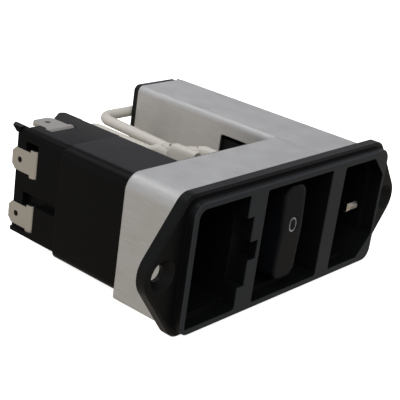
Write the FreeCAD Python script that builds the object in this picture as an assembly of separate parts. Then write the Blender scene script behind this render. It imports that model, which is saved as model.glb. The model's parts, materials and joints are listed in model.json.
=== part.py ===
"""Filtered power entry module: a flanged front with three bays (an empty fuse drawer bay, a rocker
switch and a mains inlet), an L-shaped metal can over it, a fuse and selector housing behind the left
bay and a line filter in the can's long leg behind the inlet.

Frame: millimetres, X to the right seen from the front, Y to the rear, Z up. The origin is the middle
of the flange's back plane, half way between the two screw holes.
"""
import FreeCAD, Part
import math
import os

# Bays, laid out from the can's left side to its right side
FUSE_BAY_INSET = 0.55
FUSE_BAY_WIDTH = 15.38
NOTCH_DEPTH = 2.1
NOTCH_HEIGHT = 15.38
FINGER_NOTCH_DEPTH = 2.42
FINGER_NOTCH_HEIGHT = 4.2
LEFT_PARTITION = 5.46
SWITCH_BAY_WIDTH = 23.26
RIGHT_PARTITION = 4.81
INLET_WIDTH = 16.83
INLET_HEIGHT = 24.66
INLET_CHAMFER = 4.8
INLET_DEPTH = 17.0
INLET_FLOOR = 1.8
INLET_INSET = 0.17
OPENING_MARGIN = 0.27
OPENING_CORNER_R = 0.6
FUSE_BAY_TOP_R = 2.0
POCKET_DEPTH = 3.4

# Collar: the raised rim round the three bays
COLLAR_WALL = 1.31
COLLAR_OVERHANG_X = 0.7
COLLAR_OVERHANG_Z = 0.25
COLLAR_PROUD = 1.92
COLLAR_CORNER_R = 2.8
COLLAR_LIP = 0.25

# Flange: a plate with six sides that narrows to a rounded ear at each end
FLANGE_RIM = 1.09
FLANGE_THICK = 2.6
FLANGE_EDGE = 0.45
EAR_SLOPE_DEG = 53.06
EAR_TIP_R = 5.85
EAR_TIP_REACH = 3.47
EAR_SHOULDER_R = 3.6
HOLE_REACH = 4.82
HOLE_R = 1.75
COUNTERSINK_R = 3.3

# Sleeve: the front moulding's walls behind the flange, inside the can
SLEEVE_LENGTH = 13.8
BAY_WALL = 1.2
INLET_WALL = 0.45
INLET_SLEEVE_WALL = 0.76

# Can: folded sheet, a cross leg behind the flange and a long leg behind the inlet
SHEET = 0.7
CAN_BEND_R = 3.5
CAN_FOOT_R = 0.8
CAN_OVERLAP = 0.58
CAN_CLEARANCE = 0.1
GROOVE_DEPTH = 0.3
LONG_LEG_WIDTH = 18.71
LONG_LEG_BEND_R = 1.6
SEAM_INSET = 0.88
SEAM_GAP = 0.05
WINDOW_LENGTH = 15.32
WINDOW_DROP = 3.92
WINDOW_CORNER_R = 0.6

# Fuse housing behind the left bay
FUSE_HOUSING_LENGTH = 20.2
HOUSING_WALL = 1.59
HOUSING_DROP = 0.12
HOUSING_EDGE_R = 3.0
HOUSING_FOOT_R = 2.0
HOUSING_SMALL_R = 0.6

# Terminal carrier behind the fuse housing
CARRIER_STEP = 0.63
CARRIER_RISE = 1.54
CARRIER_LENGTH = 14.2
CARRIER_REAR_WALL = 3.4
CARRIER_WALL = 1.9
CARRIER_EDGE_R = 0.3
ROOF_THICK = 1.25
FIN_WIDTH = 1.7
FIN_SHORT_REACH = 2.0
FIN_LONG_REACH = 3.2
FIN_TIP_THICK = 0.3
ROOF_NOTCH_REACH = 1.5
ROOF_NOTCH_DEPTH = 2.24
LIP_WIDTH = 5.19
LIP_REACH = 1.1
LIP_PEAK = 3.9
LIP_PEAK_INSET = 1.19
LIP_PEAK_R = 1.2
LIP_SHOULDER = 0.8
LIP_SHOULDER_R = 0.5
ROOF_CORNER_R = 0.4
POCKET_REACH = 6.6
POCKET_HOLLOW = 1.3
UPPER_POCKET_ABOVE = 4.27
UPPER_POCKET_BELOW = 3.83
LOWER_POCKET_ABOVE = 3.63
LOWER_POCKET_BELOW = 2.67
SLOT_START_STEP = 1.0
SLOT_TOP = -1.4
SLOT_WIDTH = 2.1
SLOT_HOLLOW = 1.5
LEDGE_HEIGHT = 0.5
LEDGE_PROUD = 0.25
LEDGE_RISE = 1.2
LEDGE_LENGTH = 5.5

# Blade tabs on the terminal carrier
TAB_THICK = 0.8
SIDE_TAB_WIDTH = 5.1
TOP_TAB_WIDTH = 5.9
TAB_SHOULDER = 0.6
TAB_SHOULDER_LENGTH = 2.1
TAB_REACH = 2.0
TAB_SET_IN = 5.9
TAB_BEND_R = 0.6
TAB_CHAMFER = 1.1
TAB_HOLE_R = 0.68
TAB_HOLE_FROM_TIP = 2.5
SIDE_TAB_SUNK = 0.45
TOP_TAB_PROUD = 0.06
UPPER_TAB_DROP = 7.41
LOWER_TAB_RISE = 3.97
TOP_TAB_INSET = 7.6
TAB_LEG = 4.9
TAB_FINGER = 7.0
TAB_LEG_SHARE = 0.6
TAB_SLOT_CLEARANCE = 0.05

# Fuse clips inside the terminal carrier
CLIP_STOCK = 0.4
CLIP_WIDTH = 4.4
CLIP_LENGTH = 8.0
CLIP_JAW = 4.6
CLIP_BEND_R = 0.6
CLIP_FLARE = 0.8
CLIP_PINCH = 0.6
CLIP_MOUTH = 1.6
CLIP_Z = -0.95
CLIP_SIDE_GAP = 0.1

# Switch
SWITCH_FACE = 3.1
PIVOT_DEPTH = 3.2
CHAMBER_DEPTH = 4.9
LEVER_DEPTH = 8.3
SWITCH_REAR = 3.9
SWITCH_CLEARANCE = 0.15
SWITCH_REAR_WALL = 1.5
SWITCH_END_WALL = 0.4
CHAMBER_HALF_WIDTH = 6.6
ROCKER_OFFSET = -0.04
ROCKER_WIDTH = 7.1
ROCKER_TOP_GAP = 1.26
ROCKER_FOOT_GAP = 0.81
ROCKER_CORNER_R = 2.4
ROCKER_TOP_Y = -4.02
ROCKER_RIDGE_Y = -3.94
ROCKER_RIDGE_Z = 0.7
ROCKER_FOOT_Y = -2.86
ROCKER_END_DEPTH = 7.0
ROCKER_END_TAPER = 0.4
ROCKER_HEEL = 3.4
ROCKER_HUB_HALF = 3.2
ROCKER_SIDE_GAP = 0.35
ROCKER_TRAVEL_DEG = 7.0
TRUNNION_R = 1.2
TRUNNION_LENGTH = 1.4
TRUNNION_CLEARANCE = 0.05
MARK_OFFSET = 0.3
MARK_Z = 1.58
MARK_WIDTH = 2.6
MARK_HEIGHT = 3.3
MARK_STROKE = 0.42
MARK_DEPTH = 0.15
PLUNGER_R = 0.9
PLUNGER_TIP_R = 0.4
PLUNGER_BORE_DEPTH = 2.8
PLUNGER_CLEARANCE = 0.05
PLUNGER_GAP = 0.3
POLE_PITCH = 3.8
LEVER_WIDTH = 2.6
LEVER_STOCK = 0.5
LEVER_HALF = 5.6
LEVER_DISH = 0.6
LEVER_BEND_R = 1.0
FULCRUM_R = 0.7
FULCRUM_GAP = 0.05
CONTACT_R = 0.8
CONTACT_HEIGHT = 0.35
CONTACT_Z = 4.6
CONTACT_GAP = 0.1
SPADE_WIDTH = 4.7
SPADE_THICK = 0.8
SPADE_CORNER = 0.8
SPADE_FOOT_HALF = 0.7
SPADE_LENGTH = 7.6
LOAD_SPADE_Z = 5.95
COMMON_SPADE_Z = -1.6
COMMON_SPADE_OFFSET = 4.6
LOWER_SPADE_OFFSET = 0.55

# Receptacles on the load spades
RECEPTACLE_STOCK = 0.4
RECEPTACLE_LENGTH = 8.0
RECEPTACLE_GAP = 0.05
RECEPTACLE_WEB = 1.0
BARREL_LENGTH = 3.6
BARREL_SETBACK = 0.8
LEAD_END_GAP = 0.2

# Inlet pins
PIN_WIDTH = 4.0
PIN_THICK = 2.0
PIN_CHAMFER = 0.6
PIN_STAGGER = 4.0
LIVE_PIN_Z = 7.0
EARTH_PIN_TIP = -2.2
LIVE_PIN_TIP = 1.4
PIN_TAIL = 3.32
PIN_TAIL_WIDTH = 2.4
PIN_SEAT = 0.4
PIN_FIT = 0.02

# Filter inside the long leg
TRAY_WALL = 0.9
TRAY_GAP = 0.4
TRAY_LENGTH = 13.5
TRAY_DROP = 5.06
TRAY_CLEARANCE = 0.15
BOARD_THICK = 1.2
BOARD_FLOOR_GAP = 0.2
BOARD_SIDE_GAP = 0.4
BOARD_START_GAP = 0.4
CORE_FROM_TRAY = 8.0
CORE_OUTER_R = 6.2
CORE_INNER_R = 3.4
CORE_HEIGHT = 7.0
TURN_STOCK = 0.7
TURN_GAP = 0.06
TURNS = 7
WINDING_SPAN_DEG = 130.0
X_CAP_LENGTH = 14.5
X_CAP_WIDTH = 7.5
X_CAP_HEIGHT = 13.0
Y_CAP_R = 3.4
Y_CAP_THICK = 2.6
Y_CAP_OFFSET = 4.2
RESISTOR_R = 1.3
RESISTOR_LENGTH = 6.6
RESISTOR_GAP = 0.3
CAPACITOR_GAP = 0.25
FILTER_END_GAP = 3.85
COVER_THICK = 1.5
COVER_INSET = 0.1
COVER_SPIGOT = 4.0
COVER_SPIGOT_WALL = 1.2
COVER_NOTCH_INSET = 3.63
COVER_NOTCH_WIDTH = 2.0
COVER_NOTCH_DEPTH = 0.7
STRAP_STOCK = 0.5
STRAP_WIDTH = 4.0
STRAP_BEND_R = 0.3
STRAP_STEP = 1.2
STRAP_FOOT = 1.0
STRAP_GAP = 0.05

# Insulated leads from the switch round the rear to the filter
LEAD_R = 1.28
LEAD_SIDES = 14
LEAD_BEND_R = 3.2
LEAD_REAR_GAP = 1.8
UPPER_LEAD_OFFSET = 5.15
LOWER_LEAD_OFFSET = 1.15
UPPER_LEAD_FROM_SWITCH = 9.8
LOWER_LEAD_FROM_SWITCH = 14.1
LEAD_LOW_Z = -6.1
LEAD_ENTRY_OFFSET = 1.28
LEAD_SET_IN = 3.0
LEAD_HOLE_CLEARANCE = 0.15

# Heights that follow from the inlet and the walls round it
OPENING_HEIGHT = INLET_HEIGHT + 2 * OPENING_MARGIN
HALF_OPENING = OPENING_HEIGHT / 2
HALF_COLLAR = HALF_OPENING + COLLAR_WALL
HALF_FLANGE = HALF_COLLAR + FLANGE_RIM
HALF_CAN = HALF_COLLAR - COLLAR_OVERHANG_Z
SLEEVE_TOP = HALF_CAN - SHEET - CAN_CLEARANCE
BAY_TOP = SLEEVE_TOP - BAY_WALL
HOUSING_TOP = SLEEVE_TOP - HOUSING_DROP
CARRIER_BOTTOM = CARRIER_RISE - HOUSING_TOP
UPPER_TAB_Z = HOUSING_TOP - UPPER_TAB_DROP
LOWER_TAB_Z = CARRIER_BOTTOM + LOWER_TAB_RISE
TOP_TAB_FACE = HOUSING_TOP + TOP_TAB_PROUD
ROCKER_TOP_END = BAY_TOP - ROCKER_TOP_GAP
ROCKER_FOOT_END = ROCKER_FOOT_GAP - BAY_TOP
BOARD_BOTTOM = SHEET + BOARD_FLOOR_GAP - HALF_CAN
BOARD_TOP = BOARD_BOTTOM + BOARD_THICK
TRAY_TOP = HALF_CAN - TRAY_DROP
WINDOW_TOP = HALF_CAN - WINDOW_DROP
LEAD_Z = LOAD_SPADE_Z

# Places across the module that follow from the bays
CAN_LENGTH = (FUSE_BAY_INSET + FUSE_BAY_WIDTH + LEFT_PARTITION + SWITCH_BAY_WIDTH + RIGHT_PARTITION
              + INLET_WIDTH + INLET_INSET)
CAN_SIDE = CAN_LENGTH / 2
SLEEVE_SIDE = CAN_SIDE - SHEET - CAN_CLEARANCE
HALF_COLLAR_LENGTH = CAN_SIDE + COLLAR_OVERHANG_X
EAR_TIP_X = HALF_COLLAR_LENGTH + EAR_TIP_REACH
HOLE_X = HALF_COLLAR_LENGTH + HOLE_REACH
FUSE_BAY_LEFT = FUSE_BAY_INSET - CAN_SIDE
FUSE_BAY_RIGHT = FUSE_BAY_LEFT + FUSE_BAY_WIDTH
FUSE_BORE_LEFT = BAY_WALL - SLEEVE_SIDE
NOTCH_RIGHT = FUSE_BAY_RIGHT + NOTCH_DEPTH
FINGER_NOTCH_RIGHT = NOTCH_RIGHT + FINGER_NOTCH_DEPTH
SWITCH_BAY_LEFT = FUSE_BAY_RIGHT + LEFT_PARTITION
SWITCH_BAY_RIGHT = SWITCH_BAY_LEFT + SWITCH_BAY_WIDTH
INLET_LEFT = SWITCH_BAY_RIGHT + RIGHT_PARTITION
INLET_RIGHT = INLET_LEFT + INLET_WIDTH
INLET_MIDDLE = (INLET_LEFT + INLET_RIGHT) / 2
LIVE_PIN_X = INLET_MIDDLE - PIN_STAGGER / 2
EARTH_PIN_X = INLET_MIDDLE + PIN_STAGGER / 2
LONG_LEG_LEFT = CAN_SIDE - LONG_LEG_WIDTH
LEG_INNER_LEFT = LONG_LEG_LEFT + SHEET
LEG_INNER_RIGHT = CAN_SIDE - SHEET
LEG_MIDDLE = (LEG_INNER_LEFT + LEG_INNER_RIGHT) / 2
SEAM_X = LONG_LEG_LEFT + SEAM_INSET
COVER_NOTCH_X = CAN_SIDE - COVER_NOTCH_INSET
LEAD_ENTRY_X = LEG_MIDDLE - LEAD_ENTRY_OFFSET
ROCKER_CENTRE_X = (SWITCH_BAY_LEFT + SWITCH_BAY_RIGHT) / 2 + ROCKER_OFFSET
MARK_X = ROCKER_CENTRE_X + MARK_OFFSET
UPPER_LEAD_X = ROCKER_CENTRE_X + UPPER_LEAD_OFFSET
LOWER_LEAD_X = ROCKER_CENTRE_X + LOWER_LEAD_OFFSET
LOWER_SPADE_X = ROCKER_CENTRE_X + LOWER_SPADE_OFFSET
FUSE_HOUSING_LEFT = -SLEEVE_SIDE
FUSE_HOUSING_RIGHT = FUSE_BAY_RIGHT + HOUSING_WALL
CARRIER_LEFT = FUSE_HOUSING_LEFT + CARRIER_STEP
SIDE_TAB_FACE = CARRIER_LEFT + SIDE_TAB_SUNK
TOP_TAB_X = CARRIER_LEFT + TOP_TAB_INSET
LIP_LEFT = FUSE_HOUSING_RIGHT - LIP_WIDTH
LIP_PEAK_X = FUSE_HOUSING_RIGHT - LIP_PEAK_INSET

# Places along the module that follow from the flange and the sleeve
COLLAR_FACE = -FLANGE_THICK - COLLAR_PROUD
POCKET_FLOOR = COLLAR_FACE + POCKET_DEPTH
INLET_BACK = COLLAR_FACE + INLET_DEPTH
INLET_REAR = INLET_BACK + INLET_FLOOR
CAN_FRONT = CAN_CLEARANCE - GROOVE_DEPTH
CROSS_LEG_DEPTH = SLEEVE_LENGTH + CAN_OVERLAP
WINDOW_END = CROSS_LEG_DEPTH + WINDOW_LENGTH
FUSE_HOUSING_END = SLEEVE_LENGTH + FUSE_HOUSING_LENGTH
CARRIER_END = FUSE_HOUSING_END + CARRIER_LENGTH
FIN_SHORT_END = CARRIER_END + FIN_SHORT_REACH
FIN_LONG_END = CARRIER_END + FIN_LONG_REACH
ROOF_NOTCH_END = CARRIER_END - ROOF_NOTCH_REACH
LIP_START = CARRIER_END + LIP_REACH
LIP_END = CARRIER_END + LIP_PEAK
TAB_START = CARRIER_END - TAB_SET_IN
TAB_TIP = CARRIER_END + TAB_REACH
PIVOT_Y = SWITCH_FACE + PIVOT_DEPTH
CHAMBER_START = PIVOT_Y + CHAMBER_DEPTH
LEVER_PIVOT_Y = PIVOT_Y + LEVER_DEPTH
SWITCH_END = LEVER_PIVOT_Y + SWITCH_REAR
UPPER_LEAD_START = SWITCH_END + UPPER_LEAD_FROM_SWITCH
LOWER_LEAD_START = SWITCH_END + LOWER_LEAD_FROM_SWITCH
PIN_TAIL_END = INLET_REAR + PIN_TAIL
TRAY_START = PIN_TAIL_END + TRAY_GAP
TRAY_END = TRAY_START + TRAY_LENGTH
CORE_CENTRE_Y = TRAY_START + CORE_FROM_TRAY
Y_CAP_Y = CORE_CENTRE_Y + CORE_OUTER_R + Y_CAP_R
X_CAP_Y = Y_CAP_Y + Y_CAP_R + CAPACITOR_GAP + X_CAP_LENGTH / 2
LONG_LEG_END = X_CAP_Y + X_CAP_LENGTH / 2 + FILTER_END_GAP
LEAD_REAR_Y = LONG_LEG_END + COVER_THICK + LEAD_REAR_GAP
LEAD_END_Y = LONG_LEG_END - LEAD_SET_IN

ROCKER_REST_DEG = ROCKER_TRAVEL_DEG / 2
BIG = 200.0
OVERLAP = 1.0
NEAR = 0.01


def vec(x, y, z):
    """A point or direction."""
    return FreeCAD.Vector(x, y, z)


def block(x0, x1, y0, y1, z0, z1):
    """A box between two opposite corners."""
    return Part.makeBox(x1 - x0, y1 - y0, z1 - z0, vec(x0, y0, z0))


def rod(radius, length, base, axis):
    """A cylinder from its base point along an axis."""
    return Part.makeCylinder(radius, length, base, axis)


def corner_cut(before, corner, after, radius):
    """Where a fillet of this radius starts, its middle and its end, at one corner of an outline."""
    to_before = (before - corner).normalize()
    to_after = (after - corner).normalize()
    half = to_before.getAngle(to_after) / 2
    reach = radius / math.tan(half)
    middle_dir = (to_before + to_after).normalize()
    middle = corner + middle_dir * (radius / math.sin(half) - radius)
    return corner + to_before * reach, middle, corner + to_after * reach


def outline(corners, place):
    """A closed wire through (a, b, radius) corners, each rounded by its radius."""
    points = [place(a, b) for a, b, _ in corners]
    radii = [radius for _, _, radius in corners]
    count = len(points)
    cuts = []
    for i in range(count):
        if radii[i] > 0:
            cuts.append(corner_cut(points[i - 1], points[i], points[(i + 1) % count], radii[i]))
        else:
            cuts.append((points[i], points[i], points[i]))
    edges = []
    for i in range(count):
        start, middle, end = cuts[i]
        if radii[i] > 0:
            edges.append(Part.Arc(start, middle, end).toShape())
        following = cuts[(i + 1) % count][0]
        if end.distanceToPoint(following) > 1e-6:
            edges.append(Part.makeLine(end, following))
    return Part.Wire(edges)


def plate_xz(corners, y0, y1):
    """A plate with an outline in X and Z, from y0 to y1."""
    wire = outline(corners, lambda a, b: vec(a, y0, b))
    return Part.Face(wire).extrude(vec(0, y1 - y0, 0))


def plate_xy(corners, z0, z1):
    """A plate with an outline in X and Y, from z0 to z1."""
    wire = outline(corners, lambda a, b: vec(a, b, z0))
    return Part.Face(wire).extrude(vec(0, 0, z1 - z0))


def plate_yz(corners, x0, x1):
    """A plate with an outline in Y and Z, from x0 to x1."""
    wire = outline(corners, lambda a, b: vec(x0, a, b))
    return Part.Face(wire).extrude(vec(x1 - x0, 0, 0))


def rectangle(a0, a1, b0, b1, radius=0.0):
    """The four corners of a rectangle, all with one radius."""
    return [(a0, b0, radius), (a1, b0, radius), (a1, b1, radius), (a0, b1, radius)]


def strip(path, bend_r, thick):
    """Outline corners of a bent strip: one face follows the path, the other lies thick to its left."""
    near, far = [], []
    last = len(path) - 1
    for i, (a, b) in enumerate(path):
        ins = (a - path[i - 1][0], b - path[i - 1][1]) if i else None
        outs = (path[i + 1][0] - a, path[i + 1][1] - b) if i < last else None
        ins = ins or outs
        outs = outs or ins
        la, lb = math.hypot(*ins), math.hypot(*outs)
        na = (-ins[1] / la, ins[0] / la)
        nb = (-outs[1] / lb, outs[0] / lb)
        spread = 1 + na[0] * nb[0] + na[1] * nb[1]
        side = ((na[0] + nb[0]) * thick / spread, (na[1] + nb[1]) * thick / spread)
        turn = ins[0] * outs[1] - ins[1] * outs[0]
        ends = i in (0, last)
        near.append((a, b, 0.0 if ends else (bend_r + thick if turn > 0 else bend_r)))
        far.append((a + side[0], b + side[1], 0.0 if ends else (bend_r if turn > 0 else bend_r + thick)))
    return near + far[::-1]


def tube_path(points, bend_r):
    """Straight runs joined by tangent arcs of one radius, as one wire."""
    edges = []
    here = points[0]
    for before, corner, after in zip(points, points[1:], points[2:]):
        start, middle, end = corner_cut(before, corner, after, bend_r)
        edges.append(Part.makeLine(here, start))
        edges.append(Part.Arc(start, middle, end).toShape())
        here = end
    edges.append(Part.makeLine(here, points[-1]))
    return Part.Wire(edges)


def lead_section(radius, start):
    """The lead's round section as a many-sided wire across Y, which keeps its bends light."""
    step = 2 * math.pi / LEAD_SIDES
    corners = []
    for i in range(LEAD_SIDES + 1):
        corners.append(start + vec(radius * math.cos(i * step), 0, radius * math.sin(i * step)))
    return Part.makePolygon(corners)


def tube(points, bend_r, radius):
    """A lead that sets out along Y through straight runs and tangent arcs, checked by its volume."""
    path = tube_path(points, bend_r)
    solid = path.makePipeShell([lead_section(radius, points[0])], True, False)
    expected = path.Length * LEAD_SIDES / 2 * math.sin(2 * math.pi / LEAD_SIDES) * radius ** 2
    print("lead: length %.1f mm, bend radius %.1f, volume ratio %.4f" % (
        path.Length, bend_r, solid.Volume / expected))
    return solid


def edges_where(shape, test):
    """The edges whose every end point passes the test."""
    return [e for e in shape.Edges if all(test(v.Point) for v in e.Vertexes)]


def chamfered_bay(left, right, half_height, chamfer, y0, y1):
    """The inlet's hollow: a rectangle whose two right corners are cut off at 45 degrees."""
    round_r = OPENING_CORNER_R
    cut_x = right - chamfer
    cut_z = half_height - chamfer
    corners = [(left, -half_height, round_r), (cut_x, -half_height, round_r), (right, -cut_z, round_r),
               (right, cut_z, round_r), (cut_x, half_height, round_r), (left, half_height, round_r)]
    return plate_xz(corners, y0, y1)


def flange_plate():
    """The six-sided plate with rounded ears and a softened front edge."""
    slope = math.radians(EAR_SLOPE_DEG)
    tip_x = EAR_TIP_X + EAR_TIP_R / math.sin(slope)
    shoulder_x = tip_x - HALF_FLANGE / math.tan(slope)
    corners = [(-tip_x, 0, EAR_TIP_R), (-shoulder_x, -HALF_FLANGE, EAR_SHOULDER_R),
               (shoulder_x, -HALF_FLANGE, EAR_SHOULDER_R), (tip_x, 0, EAR_TIP_R),
               (shoulder_x, HALF_FLANGE, EAR_SHOULDER_R), (-shoulder_x, HALF_FLANGE, EAR_SHOULDER_R)]
    plate = plate_xz(corners, -FLANGE_THICK, 0)
    rim = edges_where(plate, lambda p: abs(p.y + FLANGE_THICK) < NEAR)
    return plate.makeChamfer(FLANGE_EDGE, rim)


def collar():
    """The raised rim with a softened lip."""
    half = HALF_COLLAR_LENGTH
    body = plate_xz(rectangle(-half, half, -HALF_COLLAR, HALF_COLLAR, COLLAR_CORNER_R),
                    COLLAR_FACE, -FLANGE_THICK / 2)
    lip = edges_where(body, lambda p: abs(p.y - COLLAR_FACE) < NEAR)
    return body.makeChamfer(COLLAR_LIP, lip)


def sleeve():
    """The block behind the flange that fills the can's cross leg."""
    top = CAN_BEND_R - SHEET
    corners = [(-SLEEVE_SIDE, -SLEEVE_TOP, CAN_FOOT_R), (SLEEVE_SIDE, -SLEEVE_TOP, CAN_FOOT_R),
               (SLEEVE_SIDE, SLEEVE_TOP, top), (-SLEEVE_SIDE, SLEEVE_TOP, top)]
    return plate_xz(corners, -FLANGE_THICK / 2, SLEEVE_LENGTH)


def fuse_opening():
    """The drawer bay's mouth with the stepped latch notch in the partition beside it."""
    front = COLLAR_FACE - BAY_WALL
    mouth = plate_xz([(FUSE_BAY_LEFT, -HALF_OPENING, OPENING_CORNER_R),
                      (FUSE_BAY_RIGHT, -HALF_OPENING, OPENING_CORNER_R),
                      (FUSE_BAY_RIGHT, HALF_OPENING, OPENING_CORNER_R),
                      (FUSE_BAY_LEFT, HALF_OPENING, FUSE_BAY_TOP_R)], front, POCKET_FLOOR)
    notch = block(FUSE_BAY_RIGHT - BAY_WALL, NOTCH_RIGHT, front, POCKET_FLOOR,
                  -NOTCH_HEIGHT / 2, NOTCH_HEIGHT / 2)
    finger = block(NOTCH_RIGHT - BAY_WALL, FINGER_NOTCH_RIGHT, front, POCKET_FLOOR,
                   -FINGER_NOTCH_HEIGHT / 2, FINGER_NOTCH_HEIGHT / 2)
    bore = plate_xz(rectangle(FUSE_BORE_LEFT, FUSE_BAY_RIGHT, -BAY_TOP, BAY_TOP, OPENING_CORNER_R),
                    front, SLEEVE_LENGTH + BAY_WALL)
    return mouth.fuse([notch, finger, bore])


def switch_opening():
    """The switch bay: a full-height mouth and the bore that holds the switch."""
    front = COLLAR_FACE - BAY_WALL
    mouth = plate_xz(rectangle(SWITCH_BAY_LEFT, SWITCH_BAY_RIGHT, -HALF_OPENING, HALF_OPENING,
                               OPENING_CORNER_R), front, POCKET_FLOOR)
    bore = block(SWITCH_BAY_LEFT, SWITCH_BAY_RIGHT, front, SLEEVE_LENGTH + BAY_WALL, -BAY_TOP, BAY_TOP)
    return mouth.fuse(bore)


def inlet_opening():
    """The inlet's hollow, with a full-size mouth and a slightly smaller well behind it."""
    front = COLLAR_FACE - BAY_WALL
    mouth = chamfered_bay(INLET_LEFT, INLET_RIGHT, INLET_HEIGHT / 2, INLET_CHAMFER, front, POCKET_FLOOR)
    well = chamfered_bay(INLET_LEFT, SLEEVE_SIDE - INLET_WALL, SLEEVE_TOP - INLET_SLEEVE_WALL, INLET_CHAMFER,
                         front, INLET_BACK)
    return mouth.fuse(well)


def screw_hole(x):
    """A countersunk screw hole through one ear."""
    depth = COUNTERSINK_R - HOLE_R
    hole = rod(HOLE_R, FLANGE_THICK + 2 * OVERLAP, vec(x, -FLANGE_THICK - OVERLAP, 0), vec(0, 1, 0))
    cone = Part.makeCone(COUNTERSINK_R, HOLE_R, depth, vec(x, -FLANGE_THICK, 0), vec(0, 1, 0))
    return hole.fuse(cone)


def front_housing():
    """The black front moulding: flange, collar, partitions and the sleeve inside the can."""
    body = flange_plate().fuse([collar(), sleeve()]).removeSplitter()
    for tool in (can_groove(), fuse_opening(), switch_opening(), inlet_opening(), screw_hole(-HOLE_X),
                 screw_hole(HOLE_X)):
        body = body.cut(tool)
    rear_relief = block(LEG_INNER_LEFT - BAY_WALL, SLEEVE_SIDE + OVERLAP, INLET_REAR, SLEEVE_LENGTH + BIG,
                        -HALF_CAN, HALF_CAN)
    body = body.cut(rear_relief)
    half_wide = PIN_WIDTH / 2 + PIN_FIT
    half_high = PIN_THICK / 2 + PIN_FIT
    for x, z in pin_places():
        body = body.cut(block(x - half_wide, x + half_wide, INLET_BACK - OVERLAP, INLET_REAR + OVERLAP,
                              z - half_high, z + half_high))
    return body


def can_groove():
    """The shallow groove in the flange's back that takes the can's front edge."""
    gap = CAN_CLEARANCE
    side = CAN_SIDE + gap
    high = HALF_CAN + gap
    foot_r = CAN_FOOT_R + gap
    top_r = CAN_BEND_R + gap
    outer = [(-side, -high, foot_r), (side, -high, foot_r), (side, high, top_r), (-side, high, top_r)]
    return plate_xz(outer, -GROOVE_DEPTH, 0).cut(sleeve())


def can_shell(x0, x1, y0, y1, radii):
    """A four-sided sheet sleeve with the given outer corner radii, from the lower left anticlockwise."""
    walls = []
    for inset, grow in ((0, 0), (SHEET, OVERLAP)):
        left, right, high = x0 + inset, x1 - inset, HALF_CAN - inset
        places = [(left, -high), (right, -high), (right, high), (left, high)]
        corners = [(a, b, radius - inset) for (a, b), radius in zip(places, radii)]
        walls.append(plate_xz(corners, y0 - grow, y1 + grow))
    return walls[0].cut(walls[1])


def cross_ring():
    """The whole sheet ring round the cross leg, before the seam divides it."""
    return can_shell(-CAN_SIDE, CAN_SIDE, CAN_FRONT, CROSS_LEG_DEPTH,
                     [CAN_FOOT_R, CAN_FOOT_R, CAN_BEND_R, CAN_BEND_R])


def cross_shield():
    """The sheet round the cross leg, left of the seam: a wide U that is open to the front and rear."""
    ring = cross_ring()
    return ring.cut(block(SEAM_X - SEAM_GAP / 2, BIG, -BIG, BIG, -BIG, BIG))


def filter_can():
    """The sheet round the long leg, with a window in its inner wall beside the switch."""
    front = cross_ring().cut(block(-BIG, SEAM_X + SEAM_GAP / 2, -BIG, BIG, -BIG, BIG))
    leg = can_shell(LONG_LEG_LEFT, CAN_SIDE, CROSS_LEG_DEPTH, LONG_LEG_END,
                    [CAN_FOOT_R, CAN_FOOT_R, CAN_BEND_R, LONG_LEG_BEND_R])
    body = front.fuse(leg).removeSplitter()
    start = CROSS_LEG_DEPTH - OVERLAP
    low = -HALF_CAN - OVERLAP
    window = plate_yz([(start, low, 0), (WINDOW_END, low, 0), (WINDOW_END, WINDOW_TOP, WINDOW_CORNER_R),
                       (start, WINDOW_TOP, 0)], LONG_LEG_LEFT - OVERLAP, LEG_INNER_LEFT + NEAR)
    return body.cut(window)


def filter_cover():
    """The black rear cap: a plate with one notch, a spigot inside the can and two lead holes."""
    half = HALF_CAN - COVER_INSET
    left = LONG_LEG_LEFT + COVER_INSET
    right = CAN_SIDE - COVER_INSET
    plate = plate_xz([(left, -half, CAN_FOOT_R), (right, -half, CAN_FOOT_R), (right, half, CAN_BEND_R),
                      (left, half, LONG_LEG_BEND_R)], LONG_LEG_END, LONG_LEG_END + COVER_THICK)
    plate = plate.cut(block(COVER_NOTCH_X - COVER_NOTCH_WIDTH / 2, COVER_NOTCH_X + COVER_NOTCH_WIDTH / 2,
                            LONG_LEG_END - OVERLAP, BIG, half - COVER_NOTCH_DEPTH, BIG))
    x0 = LEG_INNER_LEFT + CAN_CLEARANCE
    x1 = LEG_INNER_RIGHT - CAN_CLEARANCE
    top = HALF_CAN - SHEET - CAN_CLEARANCE
    outer_r = CAN_BEND_R - SHEET
    outer = plate_xz([(x0, -top, CAN_FOOT_R), (x1, -top, CAN_FOOT_R), (x1, top, outer_r),
                      (x0, top, LONG_LEG_BEND_R)], LONG_LEG_END - COVER_SPIGOT, LONG_LEG_END)
    wall = COVER_SPIGOT_WALL
    inner = block(x0 + wall, x1 - wall, LONG_LEG_END - COVER_SPIGOT - OVERLAP, LONG_LEG_END,
                  wall - top, top - wall)
    body = plate.fuse(outer.cut(inner)).removeSplitter()
    for z in (LEAD_Z, LEAD_LOW_Z):
        body = body.cut(lead_slot(z))
    return body


def lead_slot(z):
    """The oval hole that one lead curves through on its way into the cover."""
    reach = LEAD_R + LEAD_HOLE_CLEARANCE
    left = LEAD_ENTRY_X - LEAD_BEND_R
    corners = rectangle(left, LEAD_ENTRY_X + reach, z - reach, z + reach, reach - NEAR)
    return plate_xz(corners, LONG_LEG_END - COVER_SPIGOT - OVERLAP, BIG)


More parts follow.
